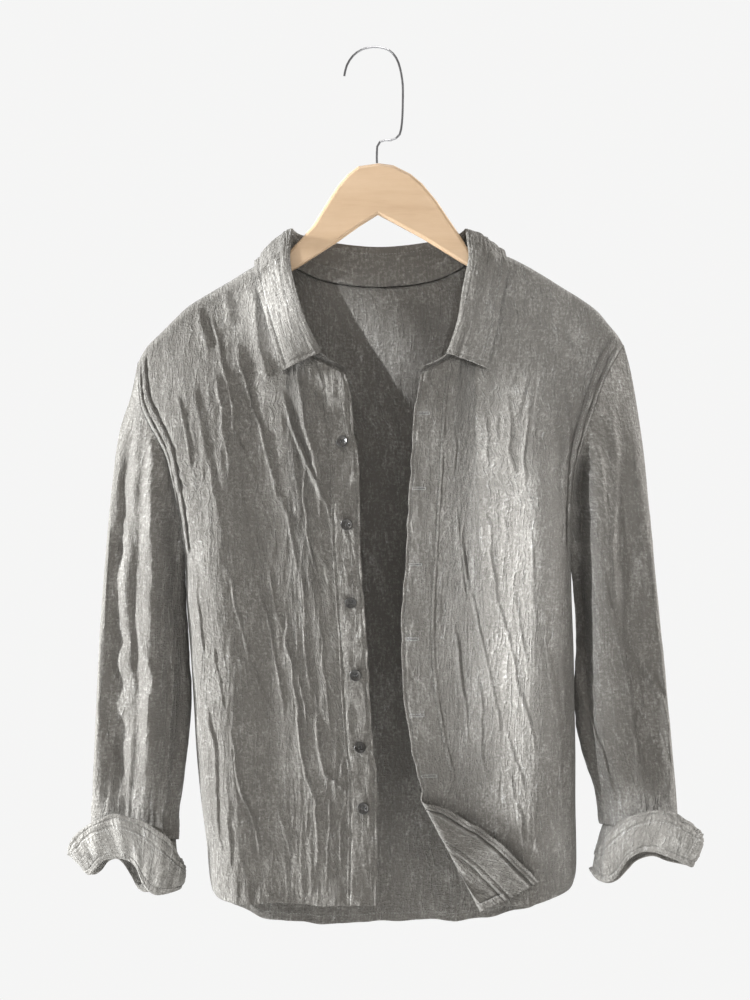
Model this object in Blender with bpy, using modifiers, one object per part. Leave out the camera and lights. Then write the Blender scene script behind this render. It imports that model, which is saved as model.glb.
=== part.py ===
"""Crinkled open shirt on a flat wooden hanger with a wire hook.

Metres, +Z up. X runs to the wearer's left, -Y is the front of the shirt.
The origin is the inside of the hook's top, where the hook bears on what holds it.
Cloth panels are parametric sheets given a wall; every table below is in millimetres.
"""
import math

import bmesh
import bpy
from mathutils import Vector

MM = 0.001

# Walls and gaps
CLOTH_WALL = 1.6 * MM
DOUBLE_WALL = 2.0 * MM
SEAM_GAP = 0.7 * MM
BAND_GAP = 1.0 * MM
SLEEVE_GAP = 2.4 * MM

# Depth of the hanging body, measured from the hanger's middle plane
RIDGE_RADIUS = 8.5 * MM
FALL_LENGTH = 250 * MM
FRONT_BELLY = 31 * MM
BACK_BELLY = 24 * MM
FRONT_NECK_DEPTH = 9 * MM
BACK_NECK_DEPTH = 21 * MM
NECK_DEPTH_HALF_WIDTH = 125 * MM
NECK_DEPTH_DROP = 30 * MM
SIDE_ROUND = 48 * MM
ARMHOLE_DEPTH = 29 * MM
ARMHOLE_SHARE = 0.38
SHOULDER_SHARE = 0.58

# Plackets and buttons
BUTTON_BAND_WIDTH = 28 * MM
HOLE_BAND_WIDTH = 32 * MM
BUTTON_RADIUS = 6.1 * MM
BUTTON_THICKNESS = 2.6 * MM
BUTTON_HOLE_RADIUS = 0.8 * MM
BUTTON_HOLE_SPACING = 1.7 * MM
BUTTON_LIFT = 0.8 * MM
BUTTON_HEIGHTS = (-410, -495, -575, -649, -723, -785)

# The wearer's left front has its lower corner turned back along this line
TURN_TOP = (45.3, -770.4)
TURN_BOTTOM = (107.9, -889.5)
TURN_RADIUS = 5 * MM

# Hanger
WOOD_THICKNESS = 12 * MM
WOOD_ROUND = 3 * MM
WOOD_SEAT = 4.7 * MM
HOOK_RADIUS = 1.2 * MM

# Outlines seen from the front; columns x, z
SHOULDER = {
    "right": [(-250, -327), (-241, -311), (-227, -297), (-212, -282), (-198, -269),
              (-179, -257), (-155, -243), (-129, -227), (-102, -213)],
    "left": [(254, -309), (248, -299), (238, -287), (227, -274), (211, -262),
             (190, -249), (171, -237), (150, -225), (130, -216), (103, -211)],
}
ARMHOLE = {
    "right": [(-250, -327), (-248.5, -352), (-245, -374), (-236, -393), (-227, -409), (-219, -426),
              (-214, -448), (-207, -484), (-203, -515), (-201, -531)],
    "left": [(254, -309), (241, -330), (230, -353), (219, -384), (210, -411),
             (205, -430), (201, -455), (199, -490), (199, -531)],
}
SIDE = {
    "right": [(-201, -531), (-199, -583), (-195, -633), (-192, -683), (-189, -734),
              (-184, -784), (-179, -822), (-176, -856), (-173, -871)],
    "left": [(199, -531), (200, -574), (202, -626), (203, -678), (204, -730),
             (204, -782), (205, -846), (202, -865)],
}
FREE_EDGE = {
    "right": [(-34, -341), (-28, -363), (-26, -394), (-22, -419), (-20, -445), (-19, -496),
              (-18, -532), (-15, -573), (-12, -614), (-10, -650), (-8, -686), (-5, -727),
              (-2, -753), (-2, -789), (-2, -830), (-3, -885)],
    "left": [(43, -341), (39, -363), (35, -394), (32, -445), (29, -496), (26, -548),
             (23, -599), (24, -650), (27, -686), (33, -722), (39, -750), (43.5, -768), (38, -785),
             (32, -804), (29, -832), (29, -862), (33, -895), (39.5, -925)],
}
FRONT_HEM = {
    "right": [(-173, -871), (-165, -878), (-152, -882), (-125, -884), (-82, -884), (-31, -885)],
    "left": [(202, -865), (194, -872), (174, -879), (155, -883), (108, -889.5), (71.5, -909)],
}
BACK_HEM = [(-173, -871), (-159, -891), (-128, -907), (-94, -913), (-62, -917), (-18, -918),
            (1, -916), (45, -915), (89, -913), (119, -908), (165, -895), (202, -865)]

# Long soft folds; columns: top x, z, bottom x, z, half width, depth (negative is a trough)
PANEL_FOLDS = {
    "front_right": [(-118, -245, -60, -620, 14, 3.0), (-142, -250, -104, -820, 15, -3.0),
                    (-170, -290, -140, -960, 16, 3.0), (-172, -560, -160, -960, 13, -2.5)],
    "front_left": [(100, -340, 92, -720, 14, 2.5), (130, -245, 118, -820, 16, -3.0),
                   (160, -290, 150, -960, 16, 3.0), (182, -560, 180, -960, 13, -2.5)],
    "back": [(-150, -320, -140, -980, 20, 4.0), (-78, -270, -86, -980, 20, -4.0),
             (2, -290, 6, -980, 22, 4.0), (80, -270, 92, -980, 20, -4.0),
             (152, -320, 146, -980, 20, 4.0)],
}
FOLD_FADE = 70

# Sleeves; columns of a station: outer x, outer z, inner x, inner z, half depth
SLEEVE_STATIONS = {
    "right": [(-252, -327, -203, -534, 29), (-259, -361, -203, -544, 29),
              (-271, -398, -202, -556, 29), (-278, -446, -201, -573, 29),
              (-283, -494, -200, -593, 28), (-287, -540, -198, -616, 28),
              (-291, -596, -197, -644, 28), (-294, -648, -195.5, -680, 27),
              (-296, -700, -199, -720, 27), (-298, -745, -204, -760, 27),
              (-299, -783, -208, -795, 26), (-299, -814, -211, -824, 25)],
    "left": [(256, -309, 203, -534, 29), (263, -335, 203, -544, 29),
             (270, -372, 203.5, -556, 29), (277, -419, 204, -573, 29),
             (282, -471, 205, -595, 28), (287, -523, 205.5, -620, 28),
             (292, -575, 206.5, -650, 28), (297, -627, 207.5, -682, 27),
             (302, -679, 211, -710, 27), (307, -731, 217, -740, 27),
             (311, -775, 227, -775, 27), (313, -806, 233, -808, 27)],
}
SLEEVE_CENTRE_Y = 13 * MM
# Columns: angle in degrees, half width in degrees, depth, first and last share of the length
SLEEVE_FOLDS = {
    "right": [(40, 15, 5.5, 0.10, 1.0), (75, 14, -5.0, 0.15, 1.0), (112, 16, 5.0, 0.05, 0.95),
              (148, 13, -4.0, 0.25, 1.0), (232, 17, 4.5, 0.10, 0.9), (300, 16, -4.0, 0.15, 0.95)],
    "left": [(38, 15, 5.0, 0.12, 0.95), (72, 15, -4.5, 0.08, 0.9), (108, 16, 5.0, 0.20, 1.0),
             (145, 13, -4.0, 0.10, 0.9), (240, 17, 4.5, 0.10, 0.9), (305, 16, -4.0, 0.15, 0.95)],
}

# Turned-back cuffs: the ring where each turns and its free edge; columns x, z, from -X to +X
CUFF_RINGS = {
    "right": {
        "turn": {"depth": 29,
                 "front": [(-306, -850), (-299, -857), (-289, -846), (-281, -840), (-264, -839),
                           (-252, -846), (-244, -866), (-232, -877), (-210, -874)],
                 "back": [(-306, -850), (-290, -846), (-268, -837), (-250, -846), (-238, -866),
                          (-210, -874)]},
        "edge": {"depth": 41,
                 "front": [(-326, -840), (-317.5, -822), (-307.5, -809), (-281, -795), (-268, -794),
                           (-248, -798), (-230.5, -808), (-218, -819), (-210, -832), (-204.5, -850)],
                 "back": [(-326, -840), (-300, -818), (-250, -812), (-204.5, -850)]},
    },
    "left": {
        "turn": {"depth": 29,
                 "front": [(224, -855), (231, -863), (244.5, -861), (257, -841), (269.5, -832.5),
                           (281, -831.5), (292, -834.5), (309, -842), (325, -851)],
                 "back": [(224, -855), (246, -865), (262, -857), (278, -845), (325, -851)]},
        "edge": {"depth": 41,
                 "front": [(223, -838), (231, -826), (236, -816), (246.5, -803.5), (265.5, -793),
                           (288, -788), (306, -792), (328, -807.5), (337, -819)],
                 "back": [(223, -838), (245, -815), (288, -803), (337, -819)]},
    },
}
CUFF_CENTRE_Y = 11 * MM
CUFF_SEAM_GAP = 1.1 * MM
CUFF_SWELL = 3 * MM
CUFF_TURN_SHARE = 0.4

# Collar rows from the back centre round each side to the front.
# Columns: seam x, z; roll x, z and its distance out from the seam; leaf edge x, z, out from the body
COLLAR_BACK = [(0, -247, 0, -205, -4, 0, -262, 7), (52, -242, 48, -201, -4, 60, -258, 7),
               (86, -229, 80, -194, -2, 104, -243, 7), (99, -218, 88, -190, -1, 121, -228, 8)]
COLLAR_SHOULDER = (102.5, -212, 90, -189, 0, 129, 5.5, 0)
COLLAR_FRONT = {
    "right": [(101, -222, 91, -203, 3, 128, -235, 6), (99, -236, 92, -222, 7, 126.5, -245, 6),
              (95, -262, 86.5, -250, 8, 121, -266, 6), (89.5, -290, 75, -286, 8, 113, -295, 6),
              (81.5, -314, 59, -318, 7, 100, -338, 6)],
    "left": [(101.2, -221, 91.5, -200, 3, 133.5, -229, 6), (99.5, -234, 93, -219, 7, 132, -241, 6),
             (96.5, -260, 87, -250, 8, 127, -262, 6), (92, -288, 81, -286, 8, 121, -297, 6),
             (86, -314, 70, -319, 7, 111, -334, 6)],
}
STAND_END = {"right": (34, -339, 34, -332.5, 2), "left": (43, -339, 45, -332.5, 2)}
BAND_CORNER = {"right": (-62, -336), "left": (75, -335)}
STAND_GAP = 2.7 * MM
STAND_INSET = 1.8 * MM
ROLL_GAP = 2.6 * MM
LEAF_RISE = 5 * MM
LEAF_END_LIFT = 1.2 * MM
LEAF_ROWS = [0.0, 0.08, 0.22, 0.45, 0.72, 1.0]

# Hanger wood; columns x, z of its visible top and lower edges
WOOD_TOP = {
    "right": [(0, -120), (-21, -123), (-33, -132), (-44, -145), (-57, -166), (-68, -184), (-82, -200),
              (-91, -209), (-100, -218)],
    "left": [(0, -120), (15, -122), (33, -131), (45, -141), (60, -159), (72, -177), (83, -193),
             (90, -204), (98.5, -218)],
}
WOOD_LOWER = {"right": [(-205, -300), (-180, -284), (-130, -254), (-85, -229), (-42, -201),
                        (-21, -186)],
              "left": [(210, -289), (186, -276), (132, -247), (87, -224), (47, -199), (19, -184)]}
WOOD_CROTCH = (-1, -173)
WOOD_TIP_SHARE = 0.26
HOOK_PATH = [(-36, -29), (-33, -17), (-25, -6), (-13, 0.3), (0, 1.2), (12, -3), (20, -14),
             (24.5, -34), (25, -55), (24, -78), (21, -91), (13, -95.5), (4, -96), (-1, -100),
             (-2, -108), (-2, -119.6)]

COLOURS = {
    "linen": (0.30, 0.30, 0.29, 1.0),
    "horn": (0.05, 0.045, 0.04, 1.0),
    "beech": (0.62, 0.50, 0.37, 1.0),
    "wire": (0.60, 0.60, 0.62, 1.0),
}
ROUGHNESS = {"linen": 0.9, "horn": 0.4, "beech": 0.55, "wire": 0.3}


def clamp(value, low=0.0, high=1.0):
    return max(low, min(high, value))


def smooth(value):
    t = clamp(value)
    return t * t * (3.0 - 2.0 * t)


def quarter_round(value):
    t = 1.0 - clamp(value)
    return math.sqrt(1.0 - t * t)


def mix(a, b, t):
    return a + (b - a) * t


def make_path(rows, scale=MM, by_row=False):
    """Smooth curve through table rows, as a function of the share of its length or rows."""
    points = [Vector(row) * scale for row in rows]
    dense = [points[0]]
    for i in range(len(points) - 1):
        before = points[max(i - 1, 0)]
        after = points[min(i + 2, len(points) - 1)]
        start_slope = (points[i + 1] - before) * 0.5
        end_slope = (after - points[i]) * 0.5
        for step in range(1, 9):
            t = step / 8.0
            t2 = t * t
            t3 = t2 * t
            dense.append(points[i] * (2 * t3 - 3 * t2 + 1) + start_slope * (t3 - 2 * t2 + t)
                         + points[i + 1] * (3 * t2 - 2 * t3) + end_slope * (t3 - t2))
    lengths = [0.0]
    for a, b in zip(dense, dense[1:]):
        lengths.append(lengths[-1] + (1.0 if by_row else (b - a).length))

    def at(share):
        wanted = clamp(share) * lengths[-1]
        for i in range(1, len(dense)):
            if lengths[i] >= wanted:
                span = lengths[i] - lengths[i - 1]
                return dense[i - 1].lerp(dense[i], (wanted - lengths[i - 1]) / max(span, 1e-9))
        return dense[-1].copy()

    return at


def join_paths(first, share, second):
    def at(t):
        if t <= share:
            return first(t / share)
        return second((t - share) / (1.0 - share))
    return at


def reverse_path(path):
    return lambda t: path(1.0 - t)


def ridge_height(x):
    """Height of the shoulder ridge over x; level across the neck."""
    rows = SHOULDER["right"] if x < 0 else SHOULDER["left"]
    ordered = sorted((abs(row[0]) * MM, row[1] * MM) for row in rows)
    reach = abs(x)
    if reach <= ordered[0][0]:
        return ordered[0][1]
    for (xa, za), (xb, zb) in zip(ordered, ordered[1:]):
        if reach <= xb:
            return mix(za, zb, (reach - xa) / (xb - xa))
    return ordered[-1][1]


def body_depth(x, z, belly, neck):
    """Distance of the hanging cloth from the hanger's middle plane."""
    fall = max(ridge_height(x) - z, 0.0)
    neck_share = max(1.0 - (x / NECK_DEPTH_HALF_WIDTH) ** 2, 0.0) ** 1.5
    return (RIDGE_RADIUS * quarter_round(fall / RIDGE_RADIUS)
            + belly * smooth(fall / FALL_LENGTH)
            + neck * neck_share * smooth(fall / NECK_DEPTH_DROP))


def front_depth(x, z):
    return body_depth(x, z, FRONT_BELLY, FRONT_NECK_DEPTH)


def back_depth(x, z):
    return body_depth(x, z, BACK_BELLY, BACK_NECK_DEPTH)


def armhole_depth(share):
    """Half depth of the armhole loop at a share of the way from shoulder tip to underarm."""
    f = clamp(share)
    return ARMHOLE_DEPTH * 4.0 * f * (1.0 - f)


def coons(top, bottom, first, last):
    """Patch between four edge curves; u runs along top and bottom, v down first and last.

    A side curve's own bend dies away towards the middle, so the rows never cross the neckline.
    """
    def at(u, v):
        ruled = top(u).lerp(bottom(u), v)
        first_bend = first(v) - top(0.0).lerp(bottom(0.0), v)
        last_bend = last(v) - top(1.0).lerp(bottom(1.0), v)
        return ruled + first_bend * (1.0 - u) ** 2 + last_bend * u ** 3
    return at


def fold_height(folds, x, z):
    """Sum of the long folds at a point of the body, seen from the front."""
    height = 0.0
    for top_x, top_z, bottom_x, bottom_z, half_width, depth in folds:
        down = (z / MM - top_z) / (bottom_z - top_z)
        across = (x / MM - mix(top_x, bottom_x, down)) / half_width
        length = top_z - bottom_z
        along = smooth(down * length / FOLD_FADE) * smooth((1.0 - down) * length / FOLD_FADE)
        height += depth * MM * math.exp(-across * across) * along
    return height


def turn_corner(point):
    """Roll what lies beyond the turning line back over the front."""
    top = Vector((TURN_TOP[0], 0.0, TURN_TOP[1])) * MM
    bottom = Vector((TURN_BOTTOM[0], 0.0, TURN_BOTTOM[1])) * MM
    along = (bottom - top).normalized()
    outward = Vector((along.z, 0.0, -along.x))
    flat = Vector((point.x, 0.0, point.z)) - top
    beyond = flat.dot(outward)
    if beyond <= 0.0:
        return point
    on_line = point - outward * beyond
    half_turn = math.pi * TURN_RADIUS
    if beyond < half_turn:
        angle = beyond / TURN_RADIUS
        shift = outward * (TURN_RADIUS * math.sin(angle))
        return on_line + shift + Vector((0.0, -TURN_RADIUS * (1.0 - math.cos(angle)), 0.0))
    return on_line - outward * (beyond - half_turn) + Vector((0.0, -2.0 * TURN_RADIUS, 0.0))


def make_material(name):
    material = bpy.data.materials.new(name)
    material.use_nodes = True
    shader = material.node_tree.nodes["Principled BSDF"]
    shader.inputs["Base Color"].default_value = COLOURS[name]
    shader.inputs["Roughness"].default_value = ROUGHNESS[name]
    shader.inputs["Metallic"].default_value = 1.0 if name == "wire" else 0.0
    return material


def add_object(name, data, collection, material):
    obj = bpy.data.objects.new(name, data)
    obj.data.materials.append(material)
    collection.objects.link(obj)
    return obj


def even(count, first=0.0, last=1.0):
    return [mix(first, last, i / count) for i in range(count + 1)]


def cloth_sheet(name, surface, column_shares, row_shares, wall, collection, material, tube=False):
    """A grid laid on surface(u, v), welded along u when it is a tube, and given its wall."""
    columns = len(column_shares) - 1
    rows = len(row_shares) - 1
    mesh_builder = bmesh.new()
    bmesh.ops.create_grid(mesh_builder, x_segments=columns, y_segments=rows, size=0.5)
    for vertex in mesh_builder.verts:
        u = column_shares[round((vertex.co.x + 0.5) * columns)]
        v = row_shares[round((vertex.co.y + 0.5) * rows)]
        vertex.co = surface(u, v)
    if tube:
        bmesh.ops.remove_doubles(mesh_builder, verts=mesh_builder.verts, dist=0.00005)
    mesh = bpy.data.meshes.new(name)
    mesh_builder.to_mesh(mesh)
    mesh_builder.free()
    mesh.shade_smooth()
    sheet = add_object(name, mesh, collection, material)
    shell = sheet.modifiers.new("Wall", "SOLIDIFY")
    shell.thickness = wall
    shell.offset = 0.0
    return sheet


def panel_rows(upper, lower):
    """Row shares: fine over the shoulder ridge, then even to the underarm and to the hem."""
    shares = [0.0, 0.0025, 0.008, 0.02]
    return shares + even(upper, 0.045, ARMHOLE_SHARE) + even(lower, ARMHOLE_SHARE, 1.0)[1:]


def neck_seam(side):
    """Front neck seam of a side, from the shoulder to the placket."""
    sign = -1.0 if side == "right" else 1.0
    rows = [COLLAR_SHOULDER] + COLLAR_FRONT[side]
    return make_path([(sign * row[0], row[1]) for row in rows] + [BAND_CORNER[side]])


def back_neck_seam():
    half = [(row[0], row[1]) for row in COLLAR_BACK + [COLLAR_SHOULDER]]
    mirrored = [(-x, z) for x, z in reversed(half)]
    return make_path(mirrored + half[1:])


def band_inner_edge(side):
    """The line where a front panel meets its placket."""
    width = BUTTON_BAND_WIDTH if side == "right" else HOLE_BAND_WIDTH
    outward = -1.0 if side == "right" else 1.0
    free = make_path(FREE_EDGE[side])
    seam_end = Vector(BAND_CORNER[side]) * MM
    hem_end = Vector(FRONT_HEM[side][-1]) * MM

    def at(t):
        edge = free(t)
        start_lift = seam_end.y - free(0.0).y
        end_lift = hem_end.y - free(1.0).y
        return Vector((edge.x + outward * width, edge.y + mix(start_lift, end_lift, t)))

    return at


def front_panel_surface(side):
    top = join_paths(make_path(SHOULDER[side]), SHOULDER_SHARE, neck_seam(side))
    outer = join_paths(make_path(ARMHOLE[side]), ARMHOLE_SHARE, make_path(SIDE[side]))
    inner = band_inner_edge(side)
    patch = coons(top, make_path(FRONT_HEM[side]), outer, inner)
    folds = PANEL_FOLDS["front_" + side]

    def at(u, v):
        flat = patch(u, v)
        width = (outer(v) - inner(v)).length
        edge_y = armhole_depth(v / ARMHOLE_SHARE)
        full_y = front_depth(flat.x, flat.y)
        y = mix(edge_y, full_y, quarter_round(u * width / SIDE_ROUND))
        y += fold_height(folds, flat.x, flat.y) * smooth(u * 6) * smooth((1.0 - u) * 6)
        point = Vector((flat.x, -SEAM_GAP - y, flat.y))
        return turn_corner(point) if side == "left" else point

    return at


def back_panel_surface():
    neck_and_left = join_paths(back_neck_seam(), 0.5, reverse_path(make_path(SHOULDER["left"])))
    top = join_paths(make_path(SHOULDER["right"]), 1 / 3, neck_and_left)
    first = join_paths(make_path(ARMHOLE["right"]), ARMHOLE_SHARE, make_path(SIDE["right"]))
    last = join_paths(make_path(ARMHOLE["left"]), ARMHOLE_SHARE, make_path(SIDE["left"]))
    patch = coons(top, make_path(BACK_HEM), first, last)

    def at(u, v):
        flat = patch(u, v)
        width = (first(v) - last(v)).length
        edge_y = armhole_depth(v / ARMHOLE_SHARE)
        full_y = back_depth(flat.x, flat.y)
        reach = min(u, 1.0 - u) * width
        y = mix(edge_y, full_y, quarter_round(reach / SIDE_ROUND))
        y += fold_height(PANEL_FOLDS["back"], flat.x, flat.y) * smooth(reach / SIDE_ROUND)
        return Vector((flat.x, SEAM_GAP + y, flat.y))

    return at


def band_surface(side):
    free = make_path(FREE_EDGE[side])
    inner = band_inner_edge(side)
    outward = -1.0 if side == "right" else 1.0

    def at(u, v):
        flat = inner(v).lerp(free(v), u)
        flat.x -= outward * BAND_GAP * (1.0 - u)
        point = Vector((flat.x, -SEAM_GAP - front_depth(flat.x, flat.y), flat.y))
        return turn_corner(point) if side == "left" else point

    return at


def sleeve_surface(side):
    """Rings fan round the underarm from the armhole loop to the level cuff seam."""
    stations = SLEEVE_STATIONS[side]
    outer_path = make_path([(row[0], row[1]) for row in stations], by_row=True)
    inner_path = make_path([(row[2], row[3]) for row in stations], by_row=True)
    depth_path = make_path([(row[4], 0) for row in stations], by_row=True)
    armhole = make_path(ARMHOLE[side])
    outward = Vector((-1.0 if side == "right" else 1.0, 0.0))
    wall_inset = 0.5 * CLOTH_WALL

    def ring_point(v, angle):
        outer = outer_path(v) - outward * wall_inset
        inner = inner_path(v) + outward * wall_inset
        middle = (outer + inner) * 0.5
        half = (outer - inner) * 0.5
        flat = middle + half * math.cos(angle)
        settle = smooth(v / 0.3)
        y = SLEEVE_CENTRE_Y * settle - depth_path(v).x * math.sin(angle)
        return Vector((flat.x, y, flat.y))

    def at(u, v):
        angle = 2.0 * math.pi * u
        point = ring_point(v, angle)
        loop = armhole((1.0 - math.cos(angle)) * 0.5) + outward * SLEEVE_GAP
        loop_y = -ARMHOLE_DEPTH * math.sin(angle) * abs(math.sin(angle))
        start = ring_point(0.0, angle)
        leave = 1.0 - smooth(v / 0.35)
        point += (Vector((loop.x, loop_y, loop.y)) - start) * leave
        bulge = 0.0
        for degrees, half_width, depth, first, last in SLEEVE_FOLDS[side]:
            offset = (math.degrees(angle) - degrees) / half_width
            along = smooth((v - first) / 0.2) * smooth((last - v) / 0.15 + (last >= 1.0))
            bulge += depth * MM * math.exp(-offset * offset) * along
        centre = (ring_point(v, 0.0) + ring_point(v, math.pi)) * 0.5
        across = point - centre
        return point + across.normalized() * bulge

    return at


def cuff_ring(ring):
    """Closed ring through its front and back tables, as a function of the angle from +X."""
    front = make_path(ring["front"])
    back = make_path(ring["back"])
    depth = ring["depth"] * MM

    def at(angle):
        path = front if math.sin(angle) >= 0.0 else back
        flat = path((1.0 + math.cos(angle)) * 0.5)
        return Vector((flat.x, CUFF_CENTRE_Y - depth * math.sin(angle), flat.y))

    return at


def cuff_surface(side):
    """The cuff runs down inside from the sleeve seam, turns and flares up outside."""
    turn_ring = cuff_ring(CUFF_RINGS[side]["turn"])
    edge_ring = cuff_ring(CUFF_RINGS[side]["edge"])
    sleeve = sleeve_surface(side)

    def at(u, v):
        angle = 2.0 * math.pi * u
        facing = angle if side == "left" else math.pi - angle
        turn = turn_ring(facing)
        if v <= CUFF_TURN_SHARE:
            seam = sleeve(u, 1.0) - Vector((0.0, 0.0, CUFF_SEAM_GAP))
            return seam.lerp(turn, v / CUFF_TURN_SHARE)
        rise = (v - CUFF_TURN_SHARE) / (1.0 - CUFF_TURN_SHARE)
        outward = Vector((math.cos(facing), -math.sin(facing), 0.0))
        swell = outward * (CUFF_SWELL * math.sin(math.pi * rise))
        return turn.lerp(edge_ring(facing), rise) + swell

    return at


def collar_row_points(side, row, group):
    """Seam, roll and leaf edge points of one collar row, in millimetres."""
    sign = -1.0 if side == "right" else 1.0
    facing = {"back": 1.0, "shoulder": 0.0, "front": -1.0}[group]
    depth = back_depth if group == "back" else front_depth
    seam_x, seam_z, roll_x, roll_z, roll_out = row[:5]
    seam_y = depth(sign * seam_x * MM, seam_z * MM) / MM
    seam = Vector((sign * seam_x, facing * seam_y, seam_z))
    roll = Vector((sign * roll_x, facing * (seam_y + roll_out), roll_z))
    if len(row) == 5:
        return seam, roll, roll
    edge_x, edge_z, edge_out = row[5:]
    if group == "shoulder":
        edge_z += ridge_height(sign * edge_x * MM) / MM
    edge_y = depth(sign * edge_x * MM, edge_z * MM) / MM + edge_out
    return seam, roll, Vector((sign * edge_x, facing * edge_y, edge_z))


def collar_lines(with_stand_end):
    """Seam, roll and leaf edge curves from the right front round the neck to the left front."""
    halves = {}
    for side in ("right", "left"):
        rows = [(row, "back") for row in COLLAR_BACK]
        rows.append((COLLAR_SHOULDER, "shoulder"))
        rows += [(row, "front") for row in COLLAR_FRONT[side]]
        if with_stand_end:
            rows.append((STAND_END[side], "front"))
        halves[side] = [collar_row_points(side, row, group) for row, group in rows]
    ordered = list(reversed(halves["right"])) + halves["left"][1:]
    return [make_path([points[line] for points in ordered], by_row=True) for line in range(3)]


def outward_from_neck(seam, roll, u):
    """Unit normal of the collar stand, away from the neck."""
    along = roll(min(u + 0.01, 1.0)) - roll(max(u - 0.01, 0.0))
    return (roll(u) - seam(u)).cross(along).normalized()


def stand_surface():
    seam, roll, _edge = collar_lines(True)

    def at(u, v):
        low = seam(u)
        high = roll(u)
        rise = (high - low).normalized()
        low += rise * STAND_GAP - outward_from_neck(seam, roll, u) * STAND_INSET
        return low.lerp(high - rise * ROLL_GAP, v)

    return at


def leaf_surface():
    seam, roll, edge = collar_lines(False)

    def at(u, v):
        start = roll(u)
        end = edge(u)
        normal = outward_from_neck(seam, roll, u)
        start += normal * (LEAF_END_LIFT * smooth((abs(2.0 * u - 1.0) - 0.8) / 0.2))
        outward = normal * LEAF_RISE
        first = start + outward
        second = start.lerp(end, 0.4) + outward
        w = 1.0 - v
        return start * w ** 3 + first * (3 * w * w * v) + second * (3 * w * v * v) + end * v ** 3

    return at


def make_body(collection, linen):
    near_neck = [SHOULDER_SHARE + step for step in (0.022, 0.055)]
    right_columns = even(7, 0.0, SHOULDER_SHARE) + near_neck + even(4, 0.72, 1.0)
    left_columns = even(6, 0.0, SHOULDER_SHARE) + near_neck + even(6, 0.69, 1.0)
    neck_third = [1 / 3 + step for step in (0.012, 0.03, 0.065, 0.11)]
    back_half = even(6, 0.0, 1 / 3) + neck_third
    back_columns = back_half + [0.5] + [1.0 - u for u in reversed(back_half)]
    rows = panel_rows(8, 13)
    turned_rows = rows[:18] + even(17, rows[17], 1.0)[1:]
    cloth_sheet("front_right", front_panel_surface("right"), right_columns, rows, CLOTH_WALL,
                collection, linen)
    cloth_sheet("button_band", band_surface("right"), even(2), rows, DOUBLE_WALL, collection, linen)
    cloth_sheet("back", back_panel_surface(), back_columns, rows, CLOTH_WALL, collection, linen)
    cloth_sheet("front_left", front_panel_surface("left"), left_columns, turned_rows, CLOTH_WALL,
                collection, linen)
    cloth_sheet("buttonhole_band", band_surface("left"), even(5), turned_rows, DOUBLE_WALL,
                collection, linen)


def make_collar(collection, linen):
    cloth_sheet("collar_stand", stand_surface(), even(36), even(2), DOUBLE_WALL, collection, linen)
    cloth_sheet("collar_leaf", leaf_surface(), even(34), LEAF_ROWS, DOUBLE_WALL, collection, linen)


def make_sleeves(collection, linen):
    cuff_rows = even(2, 0.0, 0.37) + even(3, 0.43, 1.0)
    for side in ("right", "left"):
        cloth_sheet("sleeve_" + side, sleeve_surface(side), even(22), even(17), CLOTH_WALL,
                    collection, linen, tube=True)
        cloth_sheet("cuff_" + side, cuff_surface(side), even(24), cuff_rows, DOUBLE_WALL, collection,
                    linen, tube=True)


def make_button_turning():
    """A turned disc with a raised rim; columns of the profile: share of the radius, of the half height."""
    profile = [(0.0, 0.55), (0.78, 0.55), (0.9, 1.0), (1.0, 0.4), (0.94, -1.0), (0.0, -1.0)]
    builder = bmesh.new()
    ring = [builder.verts.new((reach * BUTTON_RADIUS, 0.0, height * 0.5 * BUTTON_THICKNESS))
            for reach, height in profile]
    for a, b in zip(ring, ring[1:]):
        builder.edges.new((a, b))
    mesh = bpy.data.meshes.new("button_profile")
    builder.to_mesh(mesh)
    builder.free()
    turned = bpy.data.objects.new("button_turning", mesh)
    screw = turned.modifiers.new("Turn", "SCREW")
    screw.steps = 12
    screw.render_steps = 12
    screw.use_merge_vertices = True
    screw.merge_threshold = 0.00005
    return turned


def make_buttons(collection, cutters, horn):
    turned = make_button_turning()
    cutters.objects.link(turned)
    turned.hide_render = True
    turned.display_type = "WIRE"
    bpy.context.view_layer.update()
    graph = bpy.context.evaluated_depsgraph_get()
    disc = bpy.data.meshes.new_from_object(turned.evaluated_get(graph))
    free = make_path(FREE_EDGE["right"])
    for index, height in enumerate(BUTTON_HEIGHTS):
        z = height * MM
        share = min((abs(free(i / 400).y - z), i / 400) for i in range(401))[1]
        x = free(share).x - 0.5 * BUTTON_BAND_WIDTH
        face = front_depth(x, z) + SEAM_GAP + 0.5 * DOUBLE_WALL
        lift = 0.5 * BUTTON_THICKNESS + BUTTON_LIFT
        button = add_object("button_%d" % (index + 1), disc.copy(), collection, horn)
        button.rotation_euler = (math.pi / 2, 0.0, 0.0)
        button.location = (x, -face - lift, z)
        for hole in range(4):
            angle = math.pi / 4 + hole * math.pi / 2
            bpy.ops.mesh.primitive_cylinder_add(vertices=6, radius=BUTTON_HOLE_RADIUS,
                                                depth=3 * BUTTON_THICKNESS)
            cutter = bpy.context.object
            cutter.name = "thread_hole_%d_%d" % (index + 1, hole + 1)
            cutter.rotation_euler = (math.pi / 2, 0.0, 0.0)
            cutter.location = (x + BUTTON_HOLE_SPACING * math.cos(angle), -face - lift,
                               z + BUTTON_HOLE_SPACING * math.sin(angle))
            for owner in list(cutter.users_collection):
                owner.objects.unlink(cutter)
            cutters.objects.link(cutter)
            cutter.hide_render = True
            cutter.display_type = "WIRE"
            cut = button.modifiers.new("Thread hole", "BOOLEAN")
            cut.operation = "DIFFERENCE"
            cut.solver = "EXACT"
            cut.object = cutter


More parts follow.
